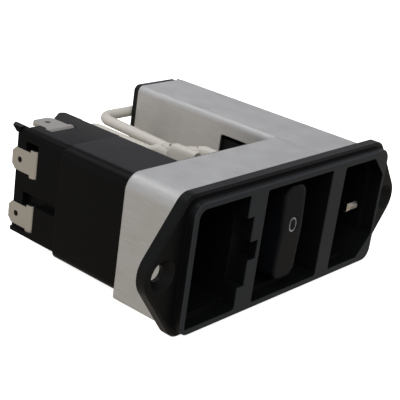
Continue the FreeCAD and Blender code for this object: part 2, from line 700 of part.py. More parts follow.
def fuse_housing():
    """The open sleeve behind the drawer bay, with a large round on its outer top edge."""
    edge = HOUSING_SMALL_R
    outer = [(FUSE_HOUSING_LEFT, -HOUSING_TOP, HOUSING_FOOT_R), (FUSE_HOUSING_RIGHT, -HOUSING_TOP, edge),
             (FUSE_HOUSING_RIGHT, HOUSING_TOP, edge), (FUSE_HOUSING_LEFT, HOUSING_TOP, HOUSING_EDGE_R)]
    body = plate_xz(outer, SLEEVE_LENGTH, FUSE_HOUSING_END)
    bore = plate_xz(rectangle(FUSE_BORE_LEFT, FUSE_BAY_RIGHT, -BAY_TOP, BAY_TOP, OPENING_CORNER_R),
                    SLEEVE_LENGTH - OVERLAP, FUSE_HOUSING_END + OVERLAP)
    return body.cut(bore)


def carrier_roof():
    """The terminal carrier's top wall, with a fin at its left, a notch and a rounded lip at its right."""
    fin_right = CARRIER_LEFT + FIN_WIDTH
    corners = [(CARRIER_LEFT, FUSE_HOUSING_END, 0), (FUSE_HOUSING_RIGHT, FUSE_HOUSING_END, 0),
               (FUSE_HOUSING_RIGHT, LIP_END - LIP_SHOULDER, LIP_SHOULDER_R),
               (LIP_PEAK_X, LIP_END, LIP_PEAK_R),
               (LIP_LEFT, LIP_START, ROOF_CORNER_R), (LIP_LEFT, ROOF_NOTCH_END, ROOF_CORNER_R),
               (fin_right, ROOF_NOTCH_END, ROOF_CORNER_R), (fin_right, FIN_LONG_END, CARRIER_EDGE_R),
               (CARRIER_LEFT, FIN_SHORT_END, CARRIER_EDGE_R)]
    underside = HOUSING_TOP - ROOF_THICK
    fin_underside = HOUSING_TOP - FIN_TIP_THICK
    beyond = FIN_LONG_END + OVERLAP
    roof = plate_xy(corners, underside, HOUSING_TOP)
    taper = plate_yz([(CARRIER_END, underside - OVERLAP, 0), (beyond, underside - OVERLAP, 0),
                      (beyond, fin_underside, 0), (FIN_SHORT_END, fin_underside, 0),
                      (CARRIER_END, underside, 0)], CARRIER_LEFT - OVERLAP, fin_right + OVERLAP)
    return roof.cut(taper)


def terminal_carrier():
    """The rear moulding that holds the tabs and fuse clips, with pockets and a slot in its left wall."""
    edge = CARRIER_EDGE_R
    left = CARRIER_LEFT - OVERLAP
    body = plate_xz([(CARRIER_LEFT, CARRIER_BOTTOM, edge), (FUSE_HOUSING_RIGHT, CARRIER_BOTTOM, edge),
                     (FUSE_HOUSING_RIGHT, HOUSING_TOP, edge), (CARRIER_LEFT, HOUSING_TOP, HOUSING_SMALL_R)],
                    FUSE_HOUSING_END, CARRIER_END)
    body = body.cut(block(CARRIER_LEFT + FIN_WIDTH, LIP_LEFT, ROOF_NOTCH_END, BIG,
                          HOUSING_TOP - ROOF_NOTCH_DEPTH, BIG))
    body = body.fuse(carrier_roof()).removeSplitter()
    body = body.cut(block(CARRIER_LEFT + CARRIER_WALL, FUSE_BAY_RIGHT, FUSE_HOUSING_END - OVERLAP,
                          CARRIER_END - CARRIER_REAR_WALL, CARRIER_BOTTOM + BAY_WALL, BAY_TOP - ROOF_THICK))
    for tab_z, above, below in ((UPPER_TAB_Z, UPPER_POCKET_ABOVE, UPPER_POCKET_BELOW),
                                (LOWER_TAB_Z, LOWER_POCKET_ABOVE, LOWER_POCKET_BELOW)):
        body = body.cut(block(left, CARRIER_LEFT + POCKET_HOLLOW, CARRIER_END - POCKET_REACH, BIG,
                              tab_z - below, tab_z + above))
    start = FUSE_HOUSING_END + SLOT_START_STEP
    body = body.cut(block(left, CARRIER_LEFT + SLOT_HOLLOW, start, BIG, SLOT_TOP - SLOT_WIDTH, SLOT_TOP))
    low = SLOT_TOP + LEDGE_RISE
    high = low + LEDGE_RISE
    ledge = plate_yz([(start, low, 0), (start + LEDGE_LENGTH, high, 0),
                      (start + LEDGE_LENGTH, high + LEDGE_HEIGHT, 0), (start, low + LEDGE_HEIGHT, 0)],
                     CARRIER_LEFT - LEDGE_PROUD, CARRIER_LEFT + LEDGE_PROUD)
    body = body.fuse(ledge)
    for leg in tab_leg_slots():
        body = body.cut(leg)
    return body


def tab_blank(width):
    """A blade tab lying flat: blade along +Y in the XY plane, outer face at z = 0, leg going down."""
    half = width / 2
    wide = half + TAB_SHOULDER
    elbow = TAB_BEND_R + TAB_THICK
    blade_start = TAB_START + elbow
    shoulder_end = TAB_START + TAB_SHOULDER_LENGTH
    cut_start = TAB_TIP - TAB_CHAMFER
    tip = half - TAB_CHAMFER
    blade = plate_xy([(-wide, blade_start, 0), (wide, blade_start, 0), (wide, shoulder_end, 0),
                      (half, shoulder_end, 0), (half, cut_start, 0), (tip, TAB_TIP, 0), (-tip, TAB_TIP, 0),
                      (-half, cut_start, 0), (-half, shoulder_end, 0), (-wide, shoulder_end, 0)],
                     -TAB_THICK, 0)
    hole = rod(TAB_HOLE_R, 4 * TAB_THICK, vec(0, TAB_TIP - TAB_HOLE_FROM_TIP, -2 * TAB_THICK), vec(0, 0, 1))
    # The shoulders turn down into the wall, then a narrower leg runs forward as a contact finger
    shoulders = [(blade_start, 0), (TAB_START, 0), (TAB_START, -elbow)]
    turn = plate_yz(strip(shoulders, TAB_BEND_R, TAB_THICK), -wide, wide)
    path = [(TAB_START, -elbow), (TAB_START, -TAB_LEG), (TAB_START - TAB_FINGER, -TAB_LEG)]
    leg = plate_yz(strip(path, TAB_BEND_R, TAB_THICK), -half * TAB_LEG_SHARE, half * TAB_LEG_SHARE)
    return blade.cut(hole).fuse([turn, leg]).removeSplitter()


def place_side_tab(shape, z):
    """Turns a flat tab so that its outer face looks to -X, at height z."""
    turned = shape.copy()
    turned.rotate(vec(0, 0, 0), vec(0, 1, 0), -90)
    turned.translate(vec(SIDE_TAB_FACE, 0, z))
    return turned


def side_tab(z):
    """One blade tab on the carrier's left wall."""
    return place_side_tab(tab_blank(SIDE_TAB_WIDTH), z)


def top_tab():
    """The blade tab on the carrier's roof."""
    tab = tab_blank(TOP_TAB_WIDTH)
    tab.translate(vec(TOP_TAB_X, 0, TOP_TAB_FACE))
    return tab


def leg_window(width):
    """The slot a tab's bend and leg need through a wall, in the flat tab's own place."""
    gap = TAB_SLOT_CLEARANCE
    wide = width / 2 + TAB_SHOULDER + gap
    elbow = TAB_BEND_R + TAB_THICK
    leg = block(-wide, wide, TAB_START - gap, TAB_START + elbow, -TAB_LEG - TAB_THICK, OVERLAP)
    seat = block(-wide, wide, TAB_START - gap, BIG, -TAB_THICK - gap, OVERLAP)
    return leg.fuse(seat)


def tab_leg_slots():
    """The slots for all three tabs."""
    slots = [place_side_tab(leg_window(SIDE_TAB_WIDTH), z) for z in (UPPER_TAB_Z, LOWER_TAB_Z)]
    top = leg_window(TOP_TAB_WIDTH)
    top.translate(vec(TOP_TAB_X, 0, TOP_TAB_FACE))
    return slots + [top]


def fuse_clip(side):
    """A folded spring clip on the carrier's inner rear wall, its jaws open to the front."""
    back = CARRIER_END - CARRIER_REAR_WALL - CLIP_STOCK
    half = CLIP_JAW / 2
    inner_left = CARRIER_LEFT + CARRIER_WALL
    reach = (FUSE_BAY_RIGHT - inner_left - CLIP_WIDTH) / 2 - CLIP_SIDE_GAP
    middle = (inner_left + FUSE_BAY_RIGHT) / 2 + side * reach
    path = [(-half - CLIP_FLARE, -CLIP_LENGTH), (-half + CLIP_PINCH, CLIP_MOUTH - CLIP_LENGTH), (-half, 0),
            (half, 0), (half - CLIP_PINCH, CLIP_MOUTH - CLIP_LENGTH), (half + CLIP_FLARE, -CLIP_LENGTH)]
    corners = strip([(CLIP_Z + a, back + b) for a, b in path], CLIP_BEND_R, CLIP_STOCK)
    wire = outline(corners, lambda a, b: vec(middle - CLIP_WIDTH / 2, b, a))
    return Part.Face(wire).extrude(vec(CLIP_WIDTH, 0, 0))


def rocker_at_rest(shape):
    """Tips a shape from the rocker's mid position into its rest position."""
    tipped = shape.copy()
    tipped.rotate(vec(0, PIVOT_Y, 0), vec(1, 0, 0), -ROCKER_REST_DEG)
    return tipped


def rocker_blank():
    """The rocker in its mid position: a ridged face, rounded ends, a hub that narrows to the pivot."""
    top = ROCKER_TOP_END
    foot = ROCKER_FOOT_END
    back = ROCKER_RIDGE_Y + ROCKER_END_DEPTH
    heel = PIVOT_Y + ROCKER_HEEL
    left = ROCKER_CENTRE_X - ROCKER_WIDTH / 2
    right = ROCKER_CENTRE_X + ROCKER_WIDTH / 2
    body = plate_yz([(ROCKER_TOP_Y, top, 0), (ROCKER_RIDGE_Y, ROCKER_RIDGE_Z, 0), (ROCKER_FOOT_Y, foot, 0),
                     (back, foot + ROCKER_END_TAPER, 0), (heel, -ROCKER_HUB_HALF, 0),
                     (heel, ROCKER_HUB_HALF, 0), (back, top - ROCKER_END_TAPER, 0)], left, right)
    return body.common(plate_xz(rectangle(left, right, foot, top, ROCKER_CORNER_R), ROCKER_TOP_Y - OVERLAP,
                                heel + OVERLAP))


def pole_centres():
    """The X places of the switch's two poles."""
    return [ROCKER_CENTRE_X - POLE_PITCH / 2, ROCKER_CENTRE_X + POLE_PITCH / 2]


def ring_mark():
    """The tool that cuts the ring mark into the rocker's face."""
    front = ROCKER_TOP_Y - OVERLAP
    floor = ROCKER_RIDGE_Y + MARK_DEPTH
    ovals = []
    for inset in (0, MARK_STROKE):
        wide = MARK_WIDTH / 2 - inset
        high = MARK_HEIGHT / 2 - inset
        corners = rectangle(MARK_X - wide, MARK_X + wide, MARK_Z - high, MARK_Z + high, wide - NEAR)
        ovals.append(plate_xz(corners, front, floor))
    return ovals[0].cut(ovals[1])


def rocker():
    """The rocker with its two trunnions, plunger bores and a shallow ring mark."""
    body = rocker_blank()
    half = ROCKER_WIDTH / 2 + TRUNNION_LENGTH
    body = body.fuse(rod(TRUNNION_R, 2 * half, vec(ROCKER_CENTRE_X - half, PIVOT_Y, 0), vec(1, 0, 0)))
    for x in pole_centres():
        body = body.cut(rod(PLUNGER_R + PLUNGER_CLEARANCE, 2 * PLUNGER_BORE_DEPTH, vec(x, plunger_floor(), 0),
                            vec(0, 1, 0)))
    return rocker_at_rest(body.cut(ring_mark()))


def plunger_floor():
    """The bottom of the plunger bores in the rocker's hub."""
    return PIVOT_Y + ROCKER_HEEL - PLUNGER_BORE_DEPTH


def plunger(x):
    """A sprung plunger in the rocker's hub, with a tapered nose towards its contact lever."""
    base = plunger_floor() + PLUNGER_CLEARANCE
    shoulder = LEVER_PIVOT_Y - FULCRUM_R - LEVER_STOCK - PLUNGER_GAP - PLUNGER_R
    pin = rod(PLUNGER_R, shoulder - base, vec(x, base, 0), vec(0, 1, 0))
    nose = Part.makeCone(PLUNGER_R, PLUNGER_TIP_R, PLUNGER_R, vec(x, shoulder, 0), vec(0, 1, 0))
    return rocker_at_rest(pin.fuse(nose).removeSplitter())


def lever_at_rest(shape):
    """Tips a contact lever from its mid position into its rest position."""
    tipped = shape.copy()
    tipped.rotate(vec(0, LEVER_PIVOT_Y, 0), vec(1, 0, 0), ROCKER_REST_DEG)
    return tipped


def contact_rear():
    """How far back a lever's contact reaches in the lever's mid position."""
    return LEVER_PIVOT_Y - FULCRUM_R + CONTACT_HEIGHT


def contact_lever(x):
    """A dished contact strip that tips on its fulcrum, with a round contact near its upper end."""
    path = [(-LEVER_HALF, -LEVER_DISH), (0, 0), (LEVER_HALF, -LEVER_DISH)]
    corners = strip(path, LEVER_BEND_R, LEVER_STOCK)
    front = LEVER_PIVOT_Y - FULCRUM_R - LEVER_STOCK
    wire = outline(corners, lambda a, b: vec(x - LEVER_WIDTH / 2, front + b, a))
    body = Part.Face(wire).extrude(vec(LEVER_WIDTH, 0, 0))
    start = front - LEVER_DISH + LEVER_STOCK
    contact = rod(CONTACT_R, contact_rear() - start, vec(x, start, CONTACT_Z), vec(0, 1, 0))
    return lever_at_rest(body.fuse(contact))


def switch_body():
    """The black switch block: a recessed face, the rocker's well, trunnion bores and a contact chamber."""
    gap = SWITCH_CLEARANCE
    top = BAY_TOP - gap
    rear = SWITCH_END - SWITCH_REAR_WALL
    body = block(SWITCH_BAY_LEFT + gap, SWITCH_BAY_RIGHT - gap, SWITCH_FACE, SWITCH_END, -top, top)
    left = ROCKER_CENTRE_X - ROCKER_WIDTH / 2 - ROCKER_SIDE_GAP
    right = ROCKER_CENTRE_X + ROCKER_WIDTH / 2 + ROCKER_SIDE_GAP
    wall = SWITCH_END_WALL
    well = block(left, right, SWITCH_FACE - OVERLAP, rear, wall - top, top - wall)
    chamber = block(ROCKER_CENTRE_X - CHAMBER_HALF_WIDTH, ROCKER_CENTRE_X + CHAMBER_HALF_WIDTH,
                    CHAMBER_START, rear, wall - top, top - wall)
    half = ROCKER_WIDTH / 2 + TRUNNION_LENGTH + ROCKER_SIDE_GAP
    bore_start = vec(ROCKER_CENTRE_X - half, PIVOT_Y, 0)
    bore = rod(TRUNNION_R + TRUNNION_CLEARANCE, 2 * half, bore_start, vec(1, 0, 0))
    body = body.cut(well).cut(chamber).cut(bore)
    for shape in spade_slots():
        body = body.cut(shape)
    return body


def spade_places():
    """Name, X place, height and rear end of each spade terminal of the switch."""
    reach = BARREL_LENGTH + LEAD_END_GAP
    end = SWITCH_END + SPADE_LENGTH
    offset = COMMON_SPADE_OFFSET
    return [("load_spade_upper_lead", UPPER_LEAD_X, LOAD_SPADE_Z, UPPER_LEAD_START - reach),
            ("load_spade_lower_lead", LOWER_SPADE_X, LOAD_SPADE_Z, LOWER_LEAD_START - reach),
            ("common_spade_right", ROCKER_CENTRE_X + offset, COMMON_SPADE_Z, end),
            ("common_spade_left", ROCKER_CENTRE_X - offset, COMMON_SPADE_Z, end)]


def spade_blade(x, z, start, end):
    """A spade blade on edge: it runs back from its start, thin along X, with cut corners at its end."""
    half = SPADE_WIDTH / 2
    cut = SPADE_CORNER
    return plate_yz([(start, z - half, 0), (end - cut, z - half, 0), (end, z - half + cut, 0),
                     (end, z + half - cut, 0), (end - cut, z + half, 0), (start, z + half, 0)],
                    x - SPADE_THICK / 2, x + SPADE_THICK / 2)


def load_spade(x, pole, end):
    """A load terminal: a blade with a foot that crosses to its pole and waits behind the lever's contact."""
    swing = CONTACT_Z * math.sin(math.radians(ROCKER_REST_DEG))
    start = contact_rear() + swing + CONTACT_GAP
    z = LOAD_SPADE_Z
    low, high = sorted((x, pole))
    foot = block(low - SPADE_THICK / 2, high + SPADE_THICK / 2, start, start + SPADE_THICK,
                 CONTACT_Z - SPADE_FOOT_HALF, CONTACT_Z + SPADE_FOOT_HALF)
    return spade_blade(x, z, start, end).fuse(foot).removeSplitter()


def common_spade(x, pole, end):
    """A common terminal: a blade with a foot whose round nose carries its pole's lever."""
    start = LEVER_PIVOT_Y
    nose = FULCRUM_R - FULCRUM_GAP
    low, high = sorted((x, pole))
    reach = LEVER_WIDTH / 2
    outer_low = low - (reach if low == pole else SPADE_THICK / 2)
    outer_high = high + (reach if high == pole else SPADE_THICK / 2)
    foot = block(outer_low, outer_high, start, SWITCH_END - SWITCH_REAR_WALL - FULCRUM_GAP, -nose, nose)
    edge = rod(nose, outer_high - outer_low, vec(outer_low, start, 0), vec(1, 0, 0))
    blade = spade_blade(x, COMMON_SPADE_Z, start + nose, end)
    return blade.fuse([foot, edge]).removeSplitter()


def spade_slots():
    """The slots in the switch's rear wall."""
    slots = []
    half = SPADE_WIDTH / 2 + PIN_FIT
    thin = SPADE_THICK / 2 + PIN_FIT
    for _, x, z, _ in spade_places():
        slots.append(block(x - thin, x + thin, SWITCH_END - SWITCH_REAR_WALL - OVERLAP, SWITCH_END + OVERLAP,
                           z - half, z + half))
    return slots


def pin_places():
    """X and Z of the live, neutral and earth pins."""
    return [(LIVE_PIN_X, LIVE_PIN_Z), (LIVE_PIN_X, -LIVE_PIN_Z), (EARTH_PIN_X, 0.0)]


def inlet_pin(x, z, tip):
    """A flat inlet pin with a chamfered tip and a narrower tail behind the inlet's floor."""
    blade = block(x - PIN_WIDTH / 2, x + PIN_WIDTH / 2, tip, INLET_REAR + PIN_SEAT, z - PIN_THICK / 2,
                  z + PIN_THICK / 2)
    front = edges_where(blade, lambda p: abs(p.y - tip) < NEAR)
    blade = blade.makeChamfer(PIN_CHAMFER, front)
    tail = block(x - PIN_TAIL_WIDTH / 2, x + PIN_TAIL_WIDTH / 2, INLET_REAR, PIN_TAIL_END, z - PIN_THICK / 4,
                 z + PIN_THICK / 4)
    return blade.fuse(tail).removeSplitter()


def filter_tray():
    """The black inner box behind the inlet that shows through the can's window."""
    gap = TRAY_CLEARANCE
    start = TRAY_START
    x0 = LEG_INNER_LEFT + gap
    x1 = LEG_INNER_RIGHT - gap
    floor = BOARD_TOP + gap
    outer = block(x0, x1, start, TRAY_END, floor, TRAY_TOP)
    inner = block(x0 + TRAY_WALL, x1 - TRAY_WALL, start + TRAY_WALL, TRAY_END + OVERLAP, floor + TRAY_WALL,
                  TRAY_TOP - TRAY_WALL)
    return outer.cut(inner)


def filter_board():
    """The filter's circuit board on the can's floor."""
    y0 = SLEEVE_LENGTH + BOARD_START_GAP
    y1 = LONG_LEG_END - COVER_SPIGOT - BOARD_START_GAP
    return block(LEG_INNER_LEFT + BOARD_SIDE_GAP, LEG_INNER_RIGHT - BOARD_SIDE_GAP, y0, y1,
                 BOARD_BOTTOM, BOARD_TOP)


def core_middle():
    """The centre of the choke's ring core."""
    z = BOARD_TOP + TRAY_CLEARANCE + TRAY_WALL + TURN_STOCK + CORE_OUTER_R + 2 * TURN_GAP
    return vec(LEG_MIDDLE, CORE_CENTRE_Y, z)


def choke_core():
    """A ring core standing on edge, its axis across the can."""
    middle = core_middle()
    start = middle - vec(CORE_HEIGHT / 2, 0, 0)
    ring = rod(CORE_OUTER_R, CORE_HEIGHT, start, vec(1, 0, 0)).cut(
        rod(CORE_INNER_R, CORE_HEIGHT, start, vec(1, 0, 0)))
    return ring


def choke_winding(side):
    """One winding: square-section turns spread over its side of the core."""
    middle = core_middle()
    mean = (CORE_OUTER_R + CORE_INNER_R) / 2
    half_across = (CORE_OUTER_R - CORE_INNER_R) / 2 + TURN_GAP
    half_high = CORE_HEIGHT / 2 + TURN_GAP
    t = TURN_STOCK
    turns = []
    for i in range(TURNS):
        angle = side * 90 + WINDING_SPAN_DEG * (i / (TURNS - 1) - 0.5)
        outer = block(middle.x - half_high - t, middle.x + half_high + t, middle.y + mean - half_across - t,
                      middle.y + mean + half_across + t, middle.z - t / 2, middle.z + t / 2)
        inner = block(middle.x - half_high, middle.x + half_high, middle.y + mean - half_across,
                      middle.y + mean + half_across, middle.z - t, middle.z + t)
        turn = outer.cut(inner)
        turn.rotate(middle, vec(1, 0, 0), angle)
        turns.append(turn)
    return Part.makeCompound(turns)


def x_capacitor():
    """The box-shaped capacitor across the two lines."""
    half_w = X_CAP_WIDTH / 2
    half_l = X_CAP_LENGTH / 2
    base = BOARD_TOP
    return block(LEG_MIDDLE - half_w, LEG_MIDDLE + half_w, X_CAP_Y - half_l, X_CAP_Y + half_l, base,
                 base + X_CAP_HEIGHT)


def y_capacitor(side):
    """A disc capacitor from one line to earth, standing on the board."""
    x = LEG_MIDDLE + side * Y_CAP_OFFSET
    base = vec(x - Y_CAP_THICK / 2, Y_CAP_Y, BOARD_TOP + Y_CAP_R)
    return rod(Y_CAP_R, Y_CAP_THICK, base, vec(1, 0, 0))


def bleed_resistor():
    """The small resistor that empties the capacitors, lying on the board beside the box capacitor."""
    x = LEG_MIDDLE + X_CAP_WIDTH / 2 + RESISTOR_R + RESISTOR_GAP
    base = vec(x, X_CAP_Y - RESISTOR_LENGTH / 2, BOARD_TOP + RESISTOR_R)
    return rod(RESISTOR_R, RESISTOR_LENGTH, base, vec(0, 1, 0))


def earth_strap():
    """The bent strap from the earth pin's tail to the can's right wall."""
    wall = LEG_INNER_RIGHT - STRAP_GAP
    y = INLET_REAR + STRAP_STOCK
    corners = strip([(EARTH_PIN_X, y), (wall - STRAP_STOCK - STRAP_BEND_R, y), (wall, y + STRAP_STEP),
                     (wall, y + STRAP_STEP + STRAP_FOOT)], STRAP_BEND_R, STRAP_STOCK)
    wire = outline(corners, lambda a, b: vec(a, b, PIN_THICK / 4 + PIN_FIT))
    return Part.Face(wire).extrude(vec(0, 0, STRAP_WIDTH))


def upper_lead():
    """The lead that crosses behind the cover at its own height."""
    points = [vec(UPPER_LEAD_X, UPPER_LEAD_START, LEAD_Z), vec(UPPER_LEAD_X, LEAD_REAR_Y, LEAD_Z),
              vec(LEAD_ENTRY_X, LEAD_REAR_Y, LEAD_Z), vec(LEAD_ENTRY_X, LEAD_END_Y, LEAD_Z)]
    return tube(points, LEAD_BEND_R, LEAD_R)


def lower_lead():
    """The lead that drops behind the switch side before it crosses to the cover."""
    points = [vec(LOWER_LEAD_X, LOWER_LEAD_START, LEAD_Z), vec(LOWER_LEAD_X, LEAD_REAR_Y, LEAD_Z),
              vec(LOWER_LEAD_X, LEAD_REAR_Y, LEAD_LOW_Z), vec(LEAD_ENTRY_X, LEAD_REAR_Y, LEAD_LOW_Z),
              vec(LEAD_ENTRY_X, LEAD_END_Y, LEAD_LOW_Z)]
    return tube(points, LEAD_BEND_R, LEAD_R)


def receptacle(x, lead_start, lead_x):
    """A push-on receptacle: a flat box on its spade and a crimp barrel on the lead's end."""
    gap = RECEPTACLE_GAP
    half_x = SPADE_THICK / 2 + gap
    half_z = SPADE_WIDTH / 2 + gap
    stock = RECEPTACLE_STOCK
    box_end = lead_start - LEAD_END_GAP
    box_start = box_end - RECEPTACLE_LENGTH
    outer = block(x - half_x - stock, x + half_x + stock, box_start, box_end, LEAD_Z - half_z - stock,
                  LEAD_Z + half_z + stock)
    hollow = block(x - half_x, x + half_x, box_start - OVERLAP, box_end - RECEPTACLE_WEB, LEAD_Z - half_z,
                   LEAD_Z + half_z)
    body = outer.cut(hollow)
    barrel_start = vec(lead_x, box_end - BARREL_SETBACK, LEAD_Z)
    barrel = rod(LEAD_R + gap + stock, BARREL_LENGTH, barrel_start, vec(0, 1, 0))
    bore = rod(LEAD_R + gap, 2 * BARREL_LENGTH, vec(lead_x, lead_start, LEAD_Z), vec(0, 1, 0))
    return body.fuse(barrel).cut(bore)


def nodes():
    """Every sub-part by its node name."""
    parts = {
        "front_housing": front_housing(),
        "cross_shield": cross_shield(),
        "filter_can": filter_can(),
        "filter_cover": filter_cover(),
        "fuse_housing": fuse_housing(),
        "terminal_carrier": terminal_carrier(),
        "side_tab_upper": side_tab(UPPER_TAB_Z),
        "side_tab_lower": side_tab(LOWER_TAB_Z),
        "top_tab": top_tab(),
        "switch_body": switch_body(),
        "rocker": rocker(),
        "filter_tray": filter_tray(),
        "filter_board": filter_board(),
        "choke_core": choke_core(),
        "choke_winding_line": choke_winding(1),
        "choke_winding_neutral": choke_winding(-1),
        "x_capacitor": x_capacitor(),
        "y_capacitor_line": y_capacitor(-1),
        "y_capacitor_neutral": y_capacitor(1),
        "bleed_resistor": bleed_resistor(),
        "earth_strap": earth_strap(),
        "lead_upper": upper_lead(),
        "lead_lower": lower_lead(),
        "receptacle_upper_lead": receptacle(UPPER_LEAD_X, UPPER_LEAD_START, UPPER_LEAD_X),
        "receptacle_lower_lead": receptacle(LOWER_SPADE_X, LOWER_LEAD_START, LOWER_LEAD_X),
    }
    for name, (x, z), tip in zip(("inlet_pin_line", "inlet_pin_neutral", "inlet_pin_earth"), pin_places(),
                                 (LIVE_PIN_TIP, LIVE_PIN_TIP, EARTH_PIN_TIP)):
        parts[name] = inlet_pin(x, z, tip)
    left_pole, right_pole = pole_centres()
    for (name, x, z, end), pole in zip(spade_places(), (right_pole, left_pole, right_pole, left_pole)):
        parts[name] = load_spade(x, pole, end) if z == LOAD_SPADE_Z else common_spade(x, pole, end)
    for side, name in ((-1, "fuse_clip_left"), (1, "fuse_clip_right")):
        parts[name] = fuse_clip(side)
    for side_name, x in zip(("left", "right"), pole_centres()):
        parts["plunger_" + side_name] = plunger(x)
        parts["contact_lever_" + side_name] = contact_lever(x)
    return parts


def main():
    """Writes each sub-part to its own file and prints its size."""
    os.makedirs("parts", exist_ok=True)
    for name, shape in nodes().items():
        box = shape.BoundBox
        print("%-24s solids %d valid %s volume %.1f  x %.1f %.1f  y %.1f %.1f  z %.1f %.1f" % (
            name, len(shape.Solids), shape.isValid(), shape.Volume, box.XMin, box.XMax, box.YMin, box.YMax,
            box.ZMin, box.ZMax))
        shape.exportStep("parts/%s.step" % name)


main()
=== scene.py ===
"""Studio scene of a filtered power entry module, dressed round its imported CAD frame.

The frame is in metres: X to the right seen from the front, Y to the rear, Z up, with the origin in the
middle of the flange's back plane. Sizes in this file are in millimetres unless a name says otherwise.
"""
import json
import logging
import math
from dataclasses import dataclass
from enum import Enum
from typing import Iterable

import bmesh
import bpy
from mathutils import Matrix, Vector

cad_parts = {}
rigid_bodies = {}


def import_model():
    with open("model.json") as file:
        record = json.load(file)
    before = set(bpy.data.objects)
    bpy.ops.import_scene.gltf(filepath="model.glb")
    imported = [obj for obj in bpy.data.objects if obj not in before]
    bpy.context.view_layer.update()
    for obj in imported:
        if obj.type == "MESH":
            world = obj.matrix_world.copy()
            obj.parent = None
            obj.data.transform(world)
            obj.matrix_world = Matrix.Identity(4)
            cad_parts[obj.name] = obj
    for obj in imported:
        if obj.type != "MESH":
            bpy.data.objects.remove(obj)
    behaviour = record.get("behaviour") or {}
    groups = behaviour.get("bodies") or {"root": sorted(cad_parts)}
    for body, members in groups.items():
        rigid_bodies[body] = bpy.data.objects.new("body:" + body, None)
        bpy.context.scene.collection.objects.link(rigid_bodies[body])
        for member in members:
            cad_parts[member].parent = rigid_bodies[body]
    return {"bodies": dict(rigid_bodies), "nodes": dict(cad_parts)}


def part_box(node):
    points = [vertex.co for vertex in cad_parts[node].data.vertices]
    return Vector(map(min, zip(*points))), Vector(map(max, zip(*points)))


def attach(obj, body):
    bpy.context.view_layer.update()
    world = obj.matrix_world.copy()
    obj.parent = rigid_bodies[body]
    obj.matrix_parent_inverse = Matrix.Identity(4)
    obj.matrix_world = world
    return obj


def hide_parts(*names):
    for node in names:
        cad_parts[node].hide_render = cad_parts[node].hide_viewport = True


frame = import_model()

MM = 0.001
LOG = logging.getLogger("power_entry_module")
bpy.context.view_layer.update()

Colour = tuple[float, float, float]
Point = tuple[float, float, float]
Flat = tuple[float, float]

# Edges sharper than this stay sharp, and faces flatter than this are joined after a cut
SHARP_ANGLE = math.radians(28)
FLAT_ANGLE = math.radians(0.5)
# Corners closer than this are joined after a cut, in millimetres
MERGE_DISTANCE = 0.0005
# The sRGB curve: a straight foot below the knee and a power above it
SRGB_KNEE = 0.04045
SRGB_SLOPE = 12.92
SRGB_OFFSET = 0.055
SRGB_POWER = 2.4
# How much the fine grain and the broad patches add to a surface's pattern
FINE_SHARE = 0.6
BROAD_SHARE = 0.4
# How detailed both are, and the stretch of the pattern's values that the roughness follows
GRAIN_DETAIL = 3.0
GRAIN_ROUGHNESS = 0.6
PATCH_DETAIL = 2.0
PATTERN_LOW = 0.3
PATTERN_HIGH = 0.7
# Samples that shade a rounded edge, and the quarter turn from the grain's direction to the one across it
EDGE_SAMPLES = 6
ACROSS_GRAIN = 0.25


def linear(code: str) -> Colour:
    """Turns an sRGB hex colour into linear light.

    Args:
        code: Six hex digits, two each for red, green and blue.

    Returns:
        The three linear channels, from 0 to 1.
    """
    channels = [int(code[i:i + 2], 16) / 255 for i in (0, 2, 4)]
    return tuple(
        c / SRGB_SLOPE if c <= SRGB_KNEE else ((c + SRGB_OFFSET) / (1 + SRGB_OFFSET)) ** SRGB_POWER
        for c in channels)


def rgba(code: str) -> tuple[float, float, float, float]:
    """The linear colour of an sRGB hex value, with full alpha."""
    return (*linear(code), 1.0)


def add_node(tree: bpy.types.NodeTree, kind: str, settings: dict | None = None, inputs: dict | None = None,
             links: dict | None = None) -> bpy.types.Node:
    """Adds one node with its settings, constant inputs and links.

    Args:
        tree: The node tree that gets the node.
        kind: The node's type name.
        settings: Properties of the node itself.
        inputs: Input socket name or number to its constant value.
        links: Input socket name or number to the output socket that feeds it.

    Returns:
        The new node.
    """
    node = tree.nodes.new(kind)
    for name, value in (settings or {}).items():
        setattr(node, name, value)
    for name, value in (inputs or {}).items():
        node.inputs[name].default_value = value
    for name, source in (links or {}).items():
        tree.links.new(source, node.inputs[name])
    return node


class Grain(Enum):
    """How a surface's fine pattern runs."""

    SPARK_ERODED = "even grain of an eroded mould face"
    BRUSHED = "long lines of a belt-brushed sheet"
    ROLLED = "soft lines of rolled strip"
    EXTRUDED = "faint lines along a drawn cover"


